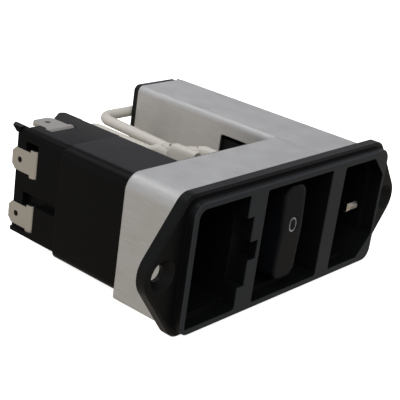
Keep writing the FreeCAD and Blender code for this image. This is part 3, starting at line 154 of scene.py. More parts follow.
@dataclass(frozen=True)
class Finish:
    """One surface finish: what it is made of, how it was made and what that gives the eye.

    Grain sizes are the spacing of the pattern in millimetres across and along it. A real moulded or rolled
    grain is a few hundredths of a millimetre, too fine to show, so it is drawn as coarse as it needs to show.
    """

    name: str
    colour: str
    accent: str
    roughness: float
    metallic: float = 0.0
    specular: float = 0.5
    grain: Grain = Grain.SPARK_ERODED
    grain_across: float = 0.12
    grain_along: float = 0.12
    relief: float = 0.004
    roughness_swing: float = 0.06
    patch: float = 6.0
    edge_radius: float = 0.12
    coat: float = 0.0
    anisotropy: float = 0.0

    def stretch(self, axis: str) -> Point:
        """How the grain is stretched so that it runs along one row axis.

        Args:
            axis: X, Y or Z.

        Returns:
            Pattern cycles per metre along X, Y and Z.
        """
        across, along = 1 / (self.grain_across * MM), 1 / (self.grain_along * MM)
        return tuple(along if axis == a else across for a in "XYZ")

    def pattern(self, tree: bpy.types.NodeTree, axis: str) -> list[bpy.types.NodeSocket]:
        """Adds the surface's pattern.

        Args:
            tree: The material's node tree.
            axis: The row axis that a directional grain follows.

        Returns:
            The fine grain alone, and the grain blended with the broad patches.
        """
        place = add_node(tree, "ShaderNodeTexCoord").outputs["Object"]
        mapped = add_node(tree, "ShaderNodeMapping", inputs={"Scale": self.stretch(axis)},
                          links={"Vector": place})
        fine = add_node(tree, "ShaderNodeTexNoise", links={"Vector": mapped.outputs["Vector"]}, inputs={
            "Scale": 1.0, "Detail": GRAIN_DETAIL, "Roughness": GRAIN_ROUGHNESS})
        broad = add_node(tree, "ShaderNodeTexNoise", links={"Vector": place}, inputs={
            "Scale": 1 / (self.patch * MM), "Detail": PATCH_DETAIL})
        shared = add_node(tree, "ShaderNodeMath", {"operation": "MULTIPLY"}, {1: BROAD_SHARE},
                          {0: broad.outputs["Fac"]})
        blended = add_node(tree, "ShaderNodeMath", {"operation": "MULTIPLY_ADD"}, {1: FINE_SHARE},
                           {0: fine.outputs["Fac"], 2: shared.outputs[0]})
        return [fine.outputs["Fac"], blended.outputs[0]]

    def make(self, axis: str = "Y") -> bpy.types.Material:
        """Builds the material, or hands back the one that is already there.

        Args:
            axis: The row axis that a directional grain follows.

        Returns:
            The finished material.
        """
        made = bpy.data.materials.get(f"{self.name}_{axis}")
        if made:
            return made
        made = bpy.data.materials.new(f"{self.name}_{axis}")
        made.use_nodes = True
        tree = made.node_tree
        shader = tree.nodes["Principled BSDF"]
        fine, blended = self.pattern(tree, axis)
        tone = add_node(tree, "ShaderNodeMix", {"data_type": "RGBA"}, links={"Factor": blended})
        tone.inputs["A"].default_value = rgba(self.colour)
        tone.inputs["B"].default_value = rgba(self.accent)
        tree.links.new(tone.outputs["Result"], shader.inputs["Base Color"])
        smoothest, roughest = self.roughness - self.roughness_swing, self.roughness + self.roughness_swing
        sheen = add_node(tree, "ShaderNodeMapRange", links={"Value": blended}, inputs={
            "From Min": PATTERN_LOW, "From Max": PATTERN_HIGH, "To Min": smoothest, "To Max": roughest})
        tree.links.new(sheen.outputs["Result"], shader.inputs["Roughness"])
        soft_edge = add_node(tree, "ShaderNodeBevel", {"samples": EDGE_SAMPLES},
                             {"Radius": self.edge_radius * MM})
        bump = add_node(tree, "ShaderNodeBump", inputs={"Strength": 1.0, "Distance": self.relief * MM},
                        links={"Height": fine, "Normal": soft_edge.outputs["Normal"]})
        tree.links.new(bump.outputs["Normal"], shader.inputs["Normal"])
        shader.inputs["Metallic"].default_value = self.metallic
        shader.inputs["Specular IOR Level"].default_value = self.specular
        shader.inputs["Coat Weight"].default_value = self.coat
        shader.inputs["Anisotropic"].default_value = self.anisotropy
        shader.inputs["Anisotropic Rotation"].default_value = ACROSS_GRAIN
        if self.anisotropy:
            along_grain = add_node(tree, "ShaderNodeCombineXYZ", inputs={axis: 1.0})
            tree.links.new(along_grain.outputs["Vector"], shader.inputs["Tangent"])
        return made


# Glass-filled polyester, moulded in a spark-eroded tool: near black, with a soft even sheen
FRONT_PLASTIC = Finish("glass_filled_polyester_moulded", "0A0B0B", "101111", 0.42, specular=0.18,
                       grain_across=0.16, grain_along=0.16, relief=0.005)
# Flame-retardant polyamide, moulded in a polished tool: black with a clearer highlight along its edges
HOUSING_PLASTIC = Finish("black_polyamide_moulded", "0B0B0B", "121213", 0.28, specular=0.075, patch=9.0,
                         grain_across=0.2, grain_along=0.2, relief=0.004)
# The same polyamide with the coarser face of the carrier's tool
CARRIER_PLASTIC = Finish("black_polyamide_grained", "0B0B0B", "121213", 0.32, specular=0.06, patch=4.0,
                         grain_across=0.14, grain_along=0.14, relief=0.006)
# Polycarbonate in a satin tool: black with a trace of blue, and a sheen that rolls over the round edges
ROCKER_PLASTIC = Finish("blue_black_polycarbonate_moulded", "0E0F12", "14161A", 0.3, specular=0.16, patch=3.0,
                        grain_across=0.1, grain_along=0.1, relief=0.002, edge_radius=1.1)
# Glass-filled polyamide inside the bays: matt and very dark
SWITCH_PLASTIC = Finish("black_polyamide_matt", "070707", "0B0B0B", 0.55, specular=0.14)
# The same family in the rear cap: a touch paler, with a dull even grain
COVER_PLASTIC = Finish("black_polyamide_cap", "0D0D0D", "131313", 0.48, specular=0.25, relief=0.006)
# The inner tray's black: dull, so that it sinks back behind the can's window
TRAY_PLASTIC = Finish("black_polyamide_tray", "090909", "0E0E0E", 0.5, specular=0.25)
# Natural acetal, turned: milky white with a waxy shine
PLUNGER_PLASTIC = Finish("natural_acetal_turned", "D8D5CC", "E4E1D8", 0.35, grain=Grain.ROLLED)
# Nickel-plated steel sheet, belt-brushed before folding: long fine lines that stretch each reflection
CAN_SHEET = Finish("nickel_plated_steel_brushed", "C6C6C3", "FAFAF8", 0.43, metallic=1.0, grain=Grain.BRUSHED,
                   grain_across=0.28, grain_along=5.0, relief=0.018, roughness_swing=0.1, patch=5.0,
                   edge_radius=0.4, anisotropy=0.85)
# Dull tin plate on stamped brass: pale warm grey with soft rolling lines
TAB_TIN = Finish("tin_plated_brass_stamped", "CBC7BE", "DFDCD4", 0.42, metallic=1.0, grain=Grain.ROLLED,
                 grain_across=0.12, grain_along=2.5, relief=0.004, patch=3.0, edge_radius=0.1)
# Nickel plate on drawn brass: bright, with brass showing a little warm in the darker patches
PIN_NICKEL = Finish("nickel_plated_brass_drawn", "B9B2A4", "D8D2C6", 0.2, metallic=1.0, grain=Grain.ROLLED,
                    grain_across=0.1, grain_along=3.0, relief=0.002, patch=1.6)
# Spring brass, rolled: yellow, with soft lines along the strip
STRIP_BRASS = Finish("spring_brass_rolled", "C7A35B", "D8B975", 0.3, metallic=1.0, grain=Grain.ROLLED,
                     grain_across=0.1, grain_along=4.0, relief=0.002)
# Phosphor bronze, rolled: redder than the brass, with the same soft lines
CLIP_BRONZE = Finish("phosphor_bronze_rolled", "B98A55", "CFA473", 0.28, metallic=1.0, grain=Grain.ROLLED,
                     grain_across=0.1, grain_along=4.0, relief=0.002)
# Tinned brass, folded: pale grey, with a soft shine along each fold
RECEPTACLE_TIN = Finish("tinned_brass_folded", "C4BFB4", "D6D1C7", 0.36, metallic=1.0, grain=Grain.ROLLED,
                        grain_across=0.12, grain_along=3.0, relief=0.003, edge_radius=0.08)
# PVC insulation, extruded: pale grey and smooth, with a soft highlight and a faint pull along the lead
LEAD_PVC = Finish("grey_pvc_extruded", "CBC6BC", "D6D1C8", 0.42, specular=0.5, grain=Grain.EXTRUDED,
                  grain_across=0.3, grain_along=6.0, relief=0.003, patch=8.0, edge_radius=0.05)
# Phenolic paper laminate, pressed: flat brown with faint fibres
BOARD_PAPER = Finish("phenolic_paper_laminate", "8C6B36", "A07E45", 0.5, grain_across=0.3, grain_along=1.2)
# Ferrite under a sprayed coat: dull dark grey with a slightly rough skin
CORE_FERRITE = Finish("ferrite_coated", "2F3133", "3C3E40", 0.6, grain_across=0.25, grain_along=0.25,
                      relief=0.01)
# Enamelled copper, drawn: red-brown metal under a clear glossy coat
WINDING_COPPER = Finish("enamelled_copper_drawn", "B4602C", "C77540", 0.25, metallic=1.0, coat=0.6)
# Polyester, moulded: deep yellow with a soft shine
CASE_POLYESTER = Finish("yellow_polyester_case", "C9A227", "D4B03C", 0.35)
# Epoxy, dipped: blue, shiny and slightly uneven
DISC_EPOXY = Finish("blue_epoxy_dipped", "2C5AA0", "3A69AF", 0.3, relief=0.01)
# Lacquer, dipped: tan with a soft shine
RESISTOR_LACQUER = Finish("tan_lacquer_dipped", "B79E78", "C4AD8A", 0.4)
# Pad-printed ink: flat pale grey, with hardly any shine
MARK_INK = Finish("pad_printed_ink", "A9ABAC", "BEC0C1", 0.6, specular=0.2, grain_across=0.08,
                  grain_along=0.08, relief=0.002, edge_radius=0.02)


def dress(names: Iterable[str], finish: Finish, axis: str = "Y") -> None:
    """Gives CAD nodes a finish.

    Args:
        names: The nodes that take it.
        finish: The finish.
        axis: The row axis that its grain follows.
    """
    material = finish.make(axis)
    for name in names:
        mesh = frame["nodes"][name].data
        mesh.materials.clear()
        mesh.materials.append(material)
        LOG.info("dressed %s in %s: %s", name, material.name, finish.grain.value)


def mesh_object(name: str, built: bmesh.types.BMesh, finish: Finish, body: str,
                axis: str = "Y") -> bpy.types.Object:
    """Turns a bmesh in row millimetres into a dressed piece that rides on a body.

    Args:
        name: The piece's name.
        built: Its shape, in millimetres.
        finish: Its finish.
        body: The CAD body that carries it.
        axis: The row axis that its grain follows.

    Returns:
        The new piece.
    """
    bmesh.ops.transform(built, matrix=Matrix.Scale(MM, 4), verts=built.verts)
    bmesh.ops.recalc_face_normals(built, faces=built.faces)
    mesh = bpy.data.meshes.new(name)
    built.to_mesh(mesh)
    built.free()
    mesh.materials.append(finish.make(axis))
    mesh.shade_smooth()
    mesh.set_sharp_from_angle(angle=SHARP_ANGLE)
    piece = bpy.data.objects.new(name, mesh)
    bpy.context.scene.collection.objects.link(piece)
    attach(piece, body)
    LOG.info("built %s: %d faces on %s", name, len(mesh.polygons), body)
    return piece


def clamped(share: float) -> float:
    """Keeps a share between 0 and 1."""
    return min(max(share, 0.0), 1.0)


def skin(built: bmesh.types.BMesh, rows: list[list[bmesh.types.BMVert]], closed: bool = True) -> None:
    """Spans faces from each ring of vertices to the next.

    Args:
        built: The mesh that holds the rings.
        rows: The rings, all with the same number of vertices.
        closed: Whether the last ring joins the first one; if not, a face closes each end.
    """
    pairs = list(zip(rows, rows[1:]))
    if closed:
        pairs.append((rows[-1], rows[0]))
    for first, second in pairs:
        for index in range(len(first)):
            after = (index + 1) % len(first)
            built.faces.new((first[index], first[after], second[after], second[index]))
    if not closed:
        built.faces.new(rows[0])
        built.faces.new(rows[-1])


@dataclass(frozen=True)
class Corner:
    """One corner of an outline, with the radius that rounds it."""

    a: float
    b: float
    radius: float = 0.0


def rounded(corners: Iterable[Corner], steps: int = 8) -> list[Flat]:
    """Turns corners with radii into a closed outline.

    Args:
        corners: The corners in order.
        steps: How many faces each rounded corner gets.

    Returns:
        The outline's points.
    """
    ring = list(corners)
    points = []
    for number, corner in enumerate(ring):
        here = Vector((corner.a, corner.b))
        before = (Vector((ring[number - 1].a, ring[number - 1].b)) - here).normalized()
        after_corner = ring[(number + 1) % len(ring)]
        after = (Vector((after_corner.a, after_corner.b)) - here).normalized()
        if not corner.radius:
            points.append(tuple(here))
            continue
        half = before.angle(after) / 2
        centre = here + (before + after).normalized() * (corner.radius / math.sin(half))
        start = here + before * (corner.radius / math.tan(half)) - centre
        end = here + after * (corner.radius / math.tan(half)) - centre
        sweep = start.angle_signed(end)
        for step in range(steps + 1):
            points.append(tuple(centre + Matrix.Rotation(-sweep * step / steps, 2) @ start))
    return points


def prism(outline: list[Flat], across: str, low: float, high: float) -> bmesh.types.BMesh:
    """Stands an outline up along one axis.

    Args:
        outline: The outline's points, in the order of the two other axes.
        across: The axis the prism runs along: X, Y or Z.
        low: Where it starts.
        high: Where it ends.

    Returns:
        The prism, in millimetres.
    """
    built = bmesh.new()
    slot = "XYZ".index(across)
    rows = []
    for depth in (low, high):
        spots = [(*point[:slot], depth, *point[slot:]) for point in outline]
        rows.append([built.verts.new(spot) for spot in spots])
    skin(built, rows, closed=False)
    bmesh.ops.recalc_face_normals(built, faces=built.faces)
    return built


def block(low: Point, high: Point) -> bmesh.types.BMesh:
    """A plain box between two opposite corners, as a tool for cutting or joining."""
    outline = [(low[0], low[2]), (high[0], low[2]), (high[0], high[2]), (low[0], high[2])]
    return prism(outline, "Y", low[1], high[1])


def combine(base: bmesh.types.BMesh, tools: Iterable[tuple[str, bmesh.types.BMesh]]) -> bmesh.types.BMesh:
    """Joins tools to a shape or cuts them out of it, one after another.

    Args:
        base: The shape, in millimetres.
        tools: Pairs of UNION or DIFFERENCE and the tool's shape.

    Returns:
        The finished shape, in millimetres.
    """
    holder = bpy.data.objects.new("combine_base", bpy.data.meshes.new("combine_base"))
    bpy.context.scene.collection.objects.link(holder)
    base.to_mesh(holder.data)
    base.free()
    helpers = []
    for kind, shape in tools:
        tool = bpy.data.objects.new("combine_tool", bpy.data.meshes.new("combine_tool"))
        bpy.context.scene.collection.objects.link(tool)
        shape.to_mesh(tool.data)
        shape.free()
        step = holder.modifiers.new("step", "BOOLEAN")
        step.operation, step.object, step.solver = kind, tool, "EXACT"
        helpers.append(tool)
    bpy.context.view_layer.update()
    done = bmesh.new()
    done.from_mesh(holder.evaluated_get(bpy.context.evaluated_depsgraph_get()).data)
    bmesh.ops.remove_doubles(done, verts=done.verts, dist=MERGE_DISTANCE)
    bmesh.ops.dissolve_limit(done, angle_limit=FLAT_ANGLE, verts=done.verts, edges=done.edges)
    for thing in [holder] + helpers:
        bpy.data.objects.remove(thing)
    return done


def swept(path: list[Point], radius: float, sides: int = 28) -> bmesh.types.BMesh:
    """A round tube along a path, closed at both ends.

    Args:
        path: Its centre line.
        radius: Its radius.
        sides: How many faces it has round.

    Returns:
        The tube, in millimetres.
    """
    built = bmesh.new()
    spots = [Vector(p) for p in path]
    ahead = (spots[1] - spots[0]).normalized()
    side = ahead.cross(Vector((0, 0, 1))).normalized()
    rows = []
    for number, spot in enumerate(spots):
        before, after = spots[max(number - 1, 0)], spots[min(number + 1, len(spots) - 1)]
        turned = (after - before).normalized()
        side = (ahead.rotation_difference(turned) @ side).normalized()
        ahead = turned
        up = side.cross(ahead)
        row = []
        for index in range(sides):
            angle = 2 * math.pi * index / sides
            row.append(built.verts.new(spot + (side * math.cos(angle) + up * math.sin(angle)) * radius))
        rows.append(row)
    skin(built, rows, closed=False)
    return built


@dataclass
class FrontMoulding:
    """The black front moulding: flange, collar, partitions and bays."""

    # Where the rim's flat face stands, and the depth over which its paler colour fades in
    rim_y: float = -4.35
    rim_blend: float = 0.12
    rim_colour: str = "2F3235"

    def dress(self) -> None:
        """Gives the moulding its plastic, with the paler matt face of the rim."""
        dress(["front_housing"], FRONT_PLASTIC)
        material = frame["nodes"]["front_housing"].data.materials[0]
        tree = material.node_tree
        shader = tree.nodes["Principled BSDF"]
        old = shader.inputs["Base Color"].links[0].from_socket
        place = add_node(tree, "ShaderNodeTexCoord").outputs["Object"]
        split = add_node(tree, "ShaderNodeSeparateXYZ", links={"Vector": place})
        mask = add_node(tree, "ShaderNodeMapRange", inputs={
            "From Min": (self.rim_y + self.rim_blend) * MM, "From Max": self.rim_y * MM},
            links={"Value": split.outputs["Y"]})
        tone = add_node(tree, "ShaderNodeMix", {"data_type": "RGBA"},
                        links={"Factor": mask.outputs["Result"]})
        tree.links.new(old, tone.inputs["A"])
        tone.inputs["B"].default_value = rgba(self.rim_colour)
        tree.links.new(tone.outputs["Result"], shader.inputs["Base Color"])


@dataclass
class Can:
    """The brushed metal can and its black rear cap."""

    # The low ridge where the two sheets meet: the width of its longer slope, and its height
    seam_width: float = 0.6
    seam_height: float = 0.06

    def seam_edge(self) -> bpy.types.Object:
        """Builds the thin cut edge where the cross leg's sheet meets the long leg's.

        Returns:
            The edge.
        """
        low, high = (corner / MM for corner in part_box("cross_shield"))
        outline = [(high.x - self.seam_width, high.z), (high.x, high.z + self.seam_height),
                   (high.x + self.seam_width / 2, high.z)]
        shape = prism(outline, "Y", low.y, high.y)
        return mesh_object("can_seam_edge", shape, CAN_SHEET, "module")

    def dress(self) -> None:
        """Gives the sheet its brushed plate and the cap its plastic, and adds the seam's edge."""
        dress(["cross_shield", "filter_can"], CAN_SHEET)
        dress(["filter_cover"], COVER_PLASTIC)
        self.seam_edge()


@dataclass
class FuseSide:
    """The fuse housing, the terminal carrier and their contacts."""

    left: float = -31.8
    right: float = -15.71
    top: float = 12.74
    bottom: float = -11.5
    start: float = 34.0
    end: float = 48.8
    edge: float = 0.3
    outer_round: float = 2.0
    # The roof, which reaches back as a fin on the left and a lip on the right of a notch
    roof: float = 1.25
    fin_right: float = -30.1
    fin_right_end: float = 51.4
    fin_left_end: float = 50.2
    fin_round: float = 0.3
    fin_tip: float = 0.3
    lip_left: float = -20.9
    lip_left_end: float = 49.3
    lip_right_end: float = 51.3
    lip_tip: Flat = (-16.9, 52.1)
    lip_rounds: tuple[float, float, float] = (0.5, 1.2, 0.4)
    notch_start: float = 46.7
    notch_floor: float = 10.5
    # The hollow that takes the fuses' ends
    wall: float = 1.9
    base: float = 1.2
    cavity_right: float = -17.3
    cavity_end: float = 45.9
    cavity_top: float = 10.41
    # The left wall's step with its slanted edge, the slot across it and the two pockets
    step_depth: float = 0.45
    step_front: float = 41.6
    slant_front: float = 1.2
    slant_rear: float = 2.75
    slot_top: float = -1.4
    slot_width: float = 2.1
    slot_depth: float = 1.5
    upper_pocket_depth: float = 3.0
    upper_pocket_height: float = 4.7
    lower_pocket_depth: float = 1.8
    # The seats of the two side tabs, then what differs in the top tab's seat
    upper_tab: float = 5.33
    lower_tab: float = -7.23
    tab_start: float = 42.3
    tab_half: float = 2.6
    tab_thick: float = 0.85
    shoulder_half: float = 3.2
    shoulder_length: float = 2.15
    leg_length: float = 1.4
    leg_depth: float = 5.7
    top_tab_in: float = 7.6
    top_tab_proud: float = 0.06
    top_tab_play: float = 0.05
    top_tab_half: float = 3.0
    top_shoulder_half: float = 3.6
    top_leg_depth: float = 5.64
    # How far a joint or a cut reaches into its neighbour, and a place behind the whole carrier
    over: float = 1.0
    beyond: float = 60.0

    def roof_pieces(self) -> list[tuple[str, bmesh.types.BMesh]]:
        """The rounded lip and the tapered fin that the roof reaches back with.

        Returns:
            Both shapes, to be joined to the body.
        """
        low, lip_root, fin_root = self.top - self.roof, self.notch_start - self.over, self.end - self.over
        right_round, tip_round, left_round = self.lip_rounds
        lip = rounded([
            Corner(self.lip_left, lip_root), Corner(self.right, lip_root),
            Corner(self.right, self.lip_right_end, right_round), Corner(*self.lip_tip, tip_round),
            Corner(self.lip_left, self.lip_left_end, left_round)])
        fin = rounded([
            Corner(self.left, fin_root), Corner(self.fin_right, fin_root),
            Corner(self.fin_right, self.fin_right_end, self.fin_round),
            Corner(self.left, self.fin_left_end, self.fin_round)])
        tip, under = self.top - self.fin_tip, low - self.over
        taper = prism([(self.end, under), (self.beyond, under), (self.beyond, tip), (self.fin_left_end, tip),
                       (self.end, low)], "X", self.left - self.over, self.fin_right + self.over)
        tapered_fin = combine(prism(fin, "Z", low, self.top), [("DIFFERENCE", taper)])
        return [("UNION", prism(lip, "Z", low, self.top)), ("UNION", tapered_fin)]

    def side_cuts(self) -> list[bmesh.types.BMesh]:
        """The shallow step, the slanted edge, the slot and the pockets in the left wall.

        Returns:
            The shapes to cut away.
        """
        out, floor, slot = self.left - self.over, self.left + self.step_depth, self.left + self.slot_depth
        first, step = self.start + self.over, self.step_front
        slant = [(first, self.slot_top), (step, self.slot_top), (step, self.slot_top + self.slant_rear),
                 (first, self.slot_top + self.slant_front)]
        step_end = (floor, self.beyond, self.top - self.roof)
        upper_end = (self.left + self.upper_pocket_depth, self.cavity_end,
                     self.upper_tab + self.upper_pocket_height)
        lower_end = (self.left + self.lower_pocket_depth, self.cavity_end, self.slot_top)
        return [
            block((out, step, self.lower_tab - self.shoulder_half), step_end),
            prism(slant, "X", out, floor),
            block((out, first, self.slot_top - self.slot_width), (slot, step, self.slot_top)),
            block((out, step, self.upper_tab), upper_end),
            block((out, step, self.lower_tab), lower_end),
        ]

    def tab_cuts(self) -> list[bmesh.types.BMesh]:
        """The seats of the three tabs and the slots for their legs.

        Returns:
            The shapes to cut away.
        """
        out, floor = self.left - self.over, self.left + self.step_depth
        seat, leg = floor + self.tab_thick, floor + self.leg_depth
        leg_end, shoulder_end = self.tab_start + self.leg_length, self.tab_start + self.shoulder_length
        wide, half = self.shoulder_half, self.tab_half
        cuts = []
        for z in (self.upper_tab, self.lower_tab):
            cuts.append(block((out, self.step_front, z - wide), (leg, leg_end, z + wide)))
            cuts.append(block((out, self.step_front, z - wide), (seat, shoulder_end, z + wide)))
            cuts.append(block((out, self.step_front, z - half), (seat, self.beyond, z + half)))
        middle, bed = self.left + self.top_tab_in, self.top + self.top_tab_proud - self.tab_thick
        wide, half, above = self.top_shoulder_half, self.top_tab_half, self.top + self.over
        front, leg = self.tab_start - self.top_tab_play, self.top - self.top_leg_depth
        cuts.append(block((middle - wide, front, leg), (middle + wide, leg_end, above)))
        cuts.append(block((middle - wide, front, bed), (middle + wide, shoulder_end, above)))
        cuts.append(block((middle - half, self.tab_start, bed), (middle + half, self.beyond, above)))
        return cuts

    def carrier(self) -> bpy.types.Object:
        """Builds the terminal carrier with its stepped side wall.

        Returns:
            The carrier, which takes the plain node's place.
        """
        outline = rounded([
            Corner(self.left, self.bottom, self.edge), Corner(self.right, self.bottom, self.edge),
            Corner(self.right, self.top, self.edge), Corner(self.left, self.top, self.outer_round)])
        cavity = block((self.left + self.wall, self.start - self.over, self.bottom + self.base),
                       (self.cavity_right, self.cavity_end, self.cavity_top))
        notch = block((self.fin_right, self.notch_start, self.notch_floor),
                      (self.lip_left, self.beyond, self.beyond))
        tools = [("DIFFERENCE", notch), *self.roof_pieces(), ("DIFFERENCE", cavity)]
        tools += [("DIFFERENCE", cut) for cut in self.side_cuts() + self.tab_cuts()]
        shape = combine(prism(outline, "Y", self.start, self.end), tools)
        piece = mesh_object("terminal_carrier_moulded", shape, CARRIER_PLASTIC, "module")
        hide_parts("terminal_carrier")
        return piece

    def dress(self) -> None:
        """Gives each part its finish and builds the carrier."""
        dress(["fuse_housing"], HOUSING_PLASTIC)
        dress(["terminal_carrier"], CARRIER_PLASTIC)
        dress(["side_tab_upper", "side_tab_lower", "top_tab"], TAB_TIN)
        dress(["fuse_clip_left", "fuse_clip_right"], CLIP_BRONZE)
        self.carrier()


@dataclass
class Switch:
    """The rocker switch with its ring mark, plungers, levers and terminals."""

    pivot_y: float = 6.3
    rest_deg: float = 3.5
    ridge_y: float = -3.94
    # The printed ring, placed on the rocker before both are turned to their angle at rest
    mark_x: float = 0.05
    mark_z: float = 1.58
    mark_width: float = 2.6
    mark_height: float = 3.3
    mark_stroke: float = 0.42
    mark_floor: float = 0.10
    mark_back: float = 0.16
    mark_play: float = 0.03
    steps: int = 72

    def oval(self, inset: float, index: int) -> Flat:
        """One point of the ring mark's outline.

        Args:
            inset: How far inside the outer edge the point lies.
            index: The point's number round the oval.

        Returns:
            Its X and Z from the mark's centre.
        """
        angle = 2 * math.pi * index / self.steps
        half_width, half_height = self.mark_width / 2 - inset, self.mark_height / 2 - inset
        return half_width * math.cos(angle), half_height * math.sin(angle)

    def ring_mark(self) -> bpy.types.Object:
        """Builds the printed ring that lies in the rocker's shallow groove.

        Returns:
            The ring, which rides on the rocker.
        """
        built = bmesh.new()
        outer, inner = self.mark_play, self.mark_stroke - self.mark_play
        rows = []
        for depth, edge in ((self.mark_back, outer), (self.mark_floor, outer), (self.mark_floor, inner),
                            (self.mark_back, inner)):
            row = []
            for index in range(self.steps):
                x, z = self.oval(edge, index)
                row.append(built.verts.new((self.mark_x + x, self.ridge_y + depth, self.mark_z + z)))
            rows.append(row)
        skin(built, rows)
        to_pivot = Matrix.Translation((0, self.pivot_y, 0))
        turn = to_pivot @ Matrix.Rotation(-math.radians(self.rest_deg), 4, "X") @ to_pivot.inverted()
        bmesh.ops.transform(built, matrix=turn, verts=built.verts)
        return mesh_object("rocker_ring_mark", built, MARK_INK, "rocker")

    def dress(self) -> None:
        """Gives each part its finish and builds the ring mark."""
        dress(["switch_body"], SWITCH_PLASTIC)
        dress(["rocker"], ROCKER_PLASTIC)
        dress(["plunger_left", "plunger_right"], PLUNGER_PLASTIC)
        dress(["contact_lever_left", "contact_lever_right"], STRIP_BRASS, "Z")
        dress(["load_spade_upper_lead", "load_spade_lower_lead"], TAB_TIN)
        dress(["common_spade_left", "common_spade_right"], TAB_TIN)
        self.ring_mark()


@dataclass
class Leads:
    """The two insulated leads, the receptacles on their ends and the soft sleeves over these."""

    radius: float = 1.28
    bend: float = 4.2
    upper_x: float = 4.9
    lower_x: float = 0.9
    upper_start: float = 28.3
    lower_start: float = 32.6
    spade_z: float = 5.95
    low_z: float = -6.1
    rear_y: float = 60.9
    entry_x: float = 22.6
    end_y: float = 54.6
    # How far each lead drops behind its receptacle, and in which share of its first run
    upper_dip: float = 1.0
    lower_dip: float = 1.35
    dip_start: float = 0.14
    dip_run: float = 0.16
    run_steps: int = 24
    bend_steps: int = 12
    lower_spade_x: float = 0.3
    # Each ring of a sleeve: how far behind the lead's start, half its width and half its height
    sleeve_outside: tuple[Point, ...] = (
        (-8.1, 1.15, 3.05), (-7.85, 1.3, 3.2), (-1.5, 1.3, 3.2), (1.3, 1.75, 2.2), (3.2, 1.7, 1.7),
        (3.4, 1.55, 1.55))
    sleeve_inside: tuple[Point, ...] = (
        (3.4, 1.33, 1.33), (3.1, 1.33, 1.33), (3.0, 1.8, 1.8), (-0.3, 1.8, 1.8), (-0.35, 0.92, 2.86),
        (-8.1, 0.92, 2.86))
    sleeve_sides: int = 32
    # Where its box turns round and moves over to the lead, and how square the box is: 1 would be an ellipse
    round_from: float = -1.5
    round_run: float = 2.8
    squareness: float = 0.45

    def route(self, corners: list[Point], dip: float) -> list[Point]:
        """The centre line through corners with round bends, lower behind the receptacle in its first run.

        Args:
            corners: The corners of the route.
            dip: How far the lead drops behind its receptacle; the rise to the next corner is even.

        Returns:
            Points along the centre line.
        """
        spots = [Vector(c) for c in corners]
        first_end = spots[1] - Vector((0.0, self.bend, 0.0))
        line = []
        for step in range(self.run_steps + 1):
            share = step / self.run_steps
            spot = Vector((spots[0].x, spots[0].y + (first_end.y - spots[0].y) * share, spots[0].z))
            dropped = clamped((share - self.dip_start) / self.dip_run)
            lowest = dip + (spots[0].z - first_end.z - dip) * share
            # A smooth step, level at both ends
            spot.z -= lowest * dropped * dropped * (3 - 2 * dropped)
            line.append(spot)
        spots[0].z = spots[1].z
        for before, corner, after in zip(spots, spots[1:], spots[2:]):
            to_before, to_after = (before - corner).normalized(), (after - corner).normalized()
            centre = corner + (to_before + to_after) * self.bend
            for step in range(1, self.bend_steps + 1):
                angle = math.pi / 2 * step / self.bend_steps
                line.append(centre - (to_after * math.cos(angle) + to_before * math.sin(angle)) * self.bend)
        line.append(spots[-1])
        return [tuple(spot) for spot in line]

    def leads(self) -> None:
        """Builds both leads as smooth tubes in the plain nodes' place."""
        high, low, rear = self.spade_z, self.low_z, self.rear_y
        upper = [(self.upper_x, self.upper_start, high), (self.upper_x, rear, high),
                 (self.entry_x, rear, high), (self.entry_x, self.end_y, high)]
        lower = [(self.lower_x, self.lower_start, high), (self.lower_x, rear, high - self.lower_dip),
                 (self.lower_x, rear, low), (self.entry_x, rear, low), (self.entry_x, self.end_y, low)]
        runs = (("lead_upper", upper, self.upper_dip), ("lead_lower", lower, self.lower_dip))
        for node, corners, dip in runs:
            shape = swept(self.route(corners, dip), self.radius)
            piece = mesh_object(f"{node}_drawn", shape, LEAD_PVC, "module")
            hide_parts(node)

    def sleeve(self, name: str, x: float, lead_x: float, lead_start: float) -> bpy.types.Object:
        """Builds the soft sleeve that covers one receptacle and grips the lead's first millimetres.

        Args:
            name: The piece's name.
            x: The X of its spade.
            lead_x: The X of its lead.
            lead_start: Where the lead starts.

        Returns:
            The sleeve.
        """
        built = bmesh.new()
        rows = []
        for behind, wide, high in self.sleeve_outside + self.sleeve_inside:
            share = clamped((behind - self.round_from) / self.round_run)
            centre_x = x + (lead_x - x) * share
            power = self.squareness + (1 - self.squareness) * share
            row = []
            for index in range(self.sleeve_sides):
                angle = 2 * math.pi * index / self.sleeve_sides
                across = wide * math.copysign(abs(math.cos(angle)) ** power, math.cos(angle))
                up = high * math.copysign(abs(math.sin(angle)) ** power, math.sin(angle))
                row.append(built.verts.new((centre_x + across, lead_start + behind, self.spade_z + up)))
            rows.append(row)
        skin(built, rows)
        return mesh_object(name, built, LEAD_PVC, "module")

    def dress(self) -> None:
        """Gives the leads their insulation and the receptacles their plate, and builds the smooth pieces."""
        dress(["lead_upper", "lead_lower"], LEAD_PVC)
        dress(["receptacle_upper_lead", "receptacle_lower_lead"], RECEPTACLE_TIN)
        self.leads()
        self.sleeve("receptacle_sleeve_upper", self.upper_x, self.upper_x, self.upper_start)
        self.sleeve("receptacle_sleeve_lower", self.lower_spade_x, self.lower_x, self.lower_start)


@dataclass
class Filter:
    """The inlet pins and the line filter inside the long leg."""

    def dress(self) -> None:
        """Gives each part its finish."""
        dress(["inlet_pin_line", "inlet_pin_neutral", "inlet_pin_earth"], PIN_NICKEL)
        dress(["filter_tray"], TRAY_PLASTIC)
        dress(["filter_board"], BOARD_PAPER)
        dress(["choke_core"], CORE_FERRITE)
        dress(["choke_winding_line", "choke_winding_neutral"], WINDING_COPPER)
        dress(["x_capacitor"], CASE_POLYESTER)
        dress(["y_capacitor_line", "y_capacitor_neutral"], DISC_EPOXY)
        dress(["bleed_resistor"], RESISTOR_LACQUER)
        dress(["earth_strap"], STRIP_BRASS)


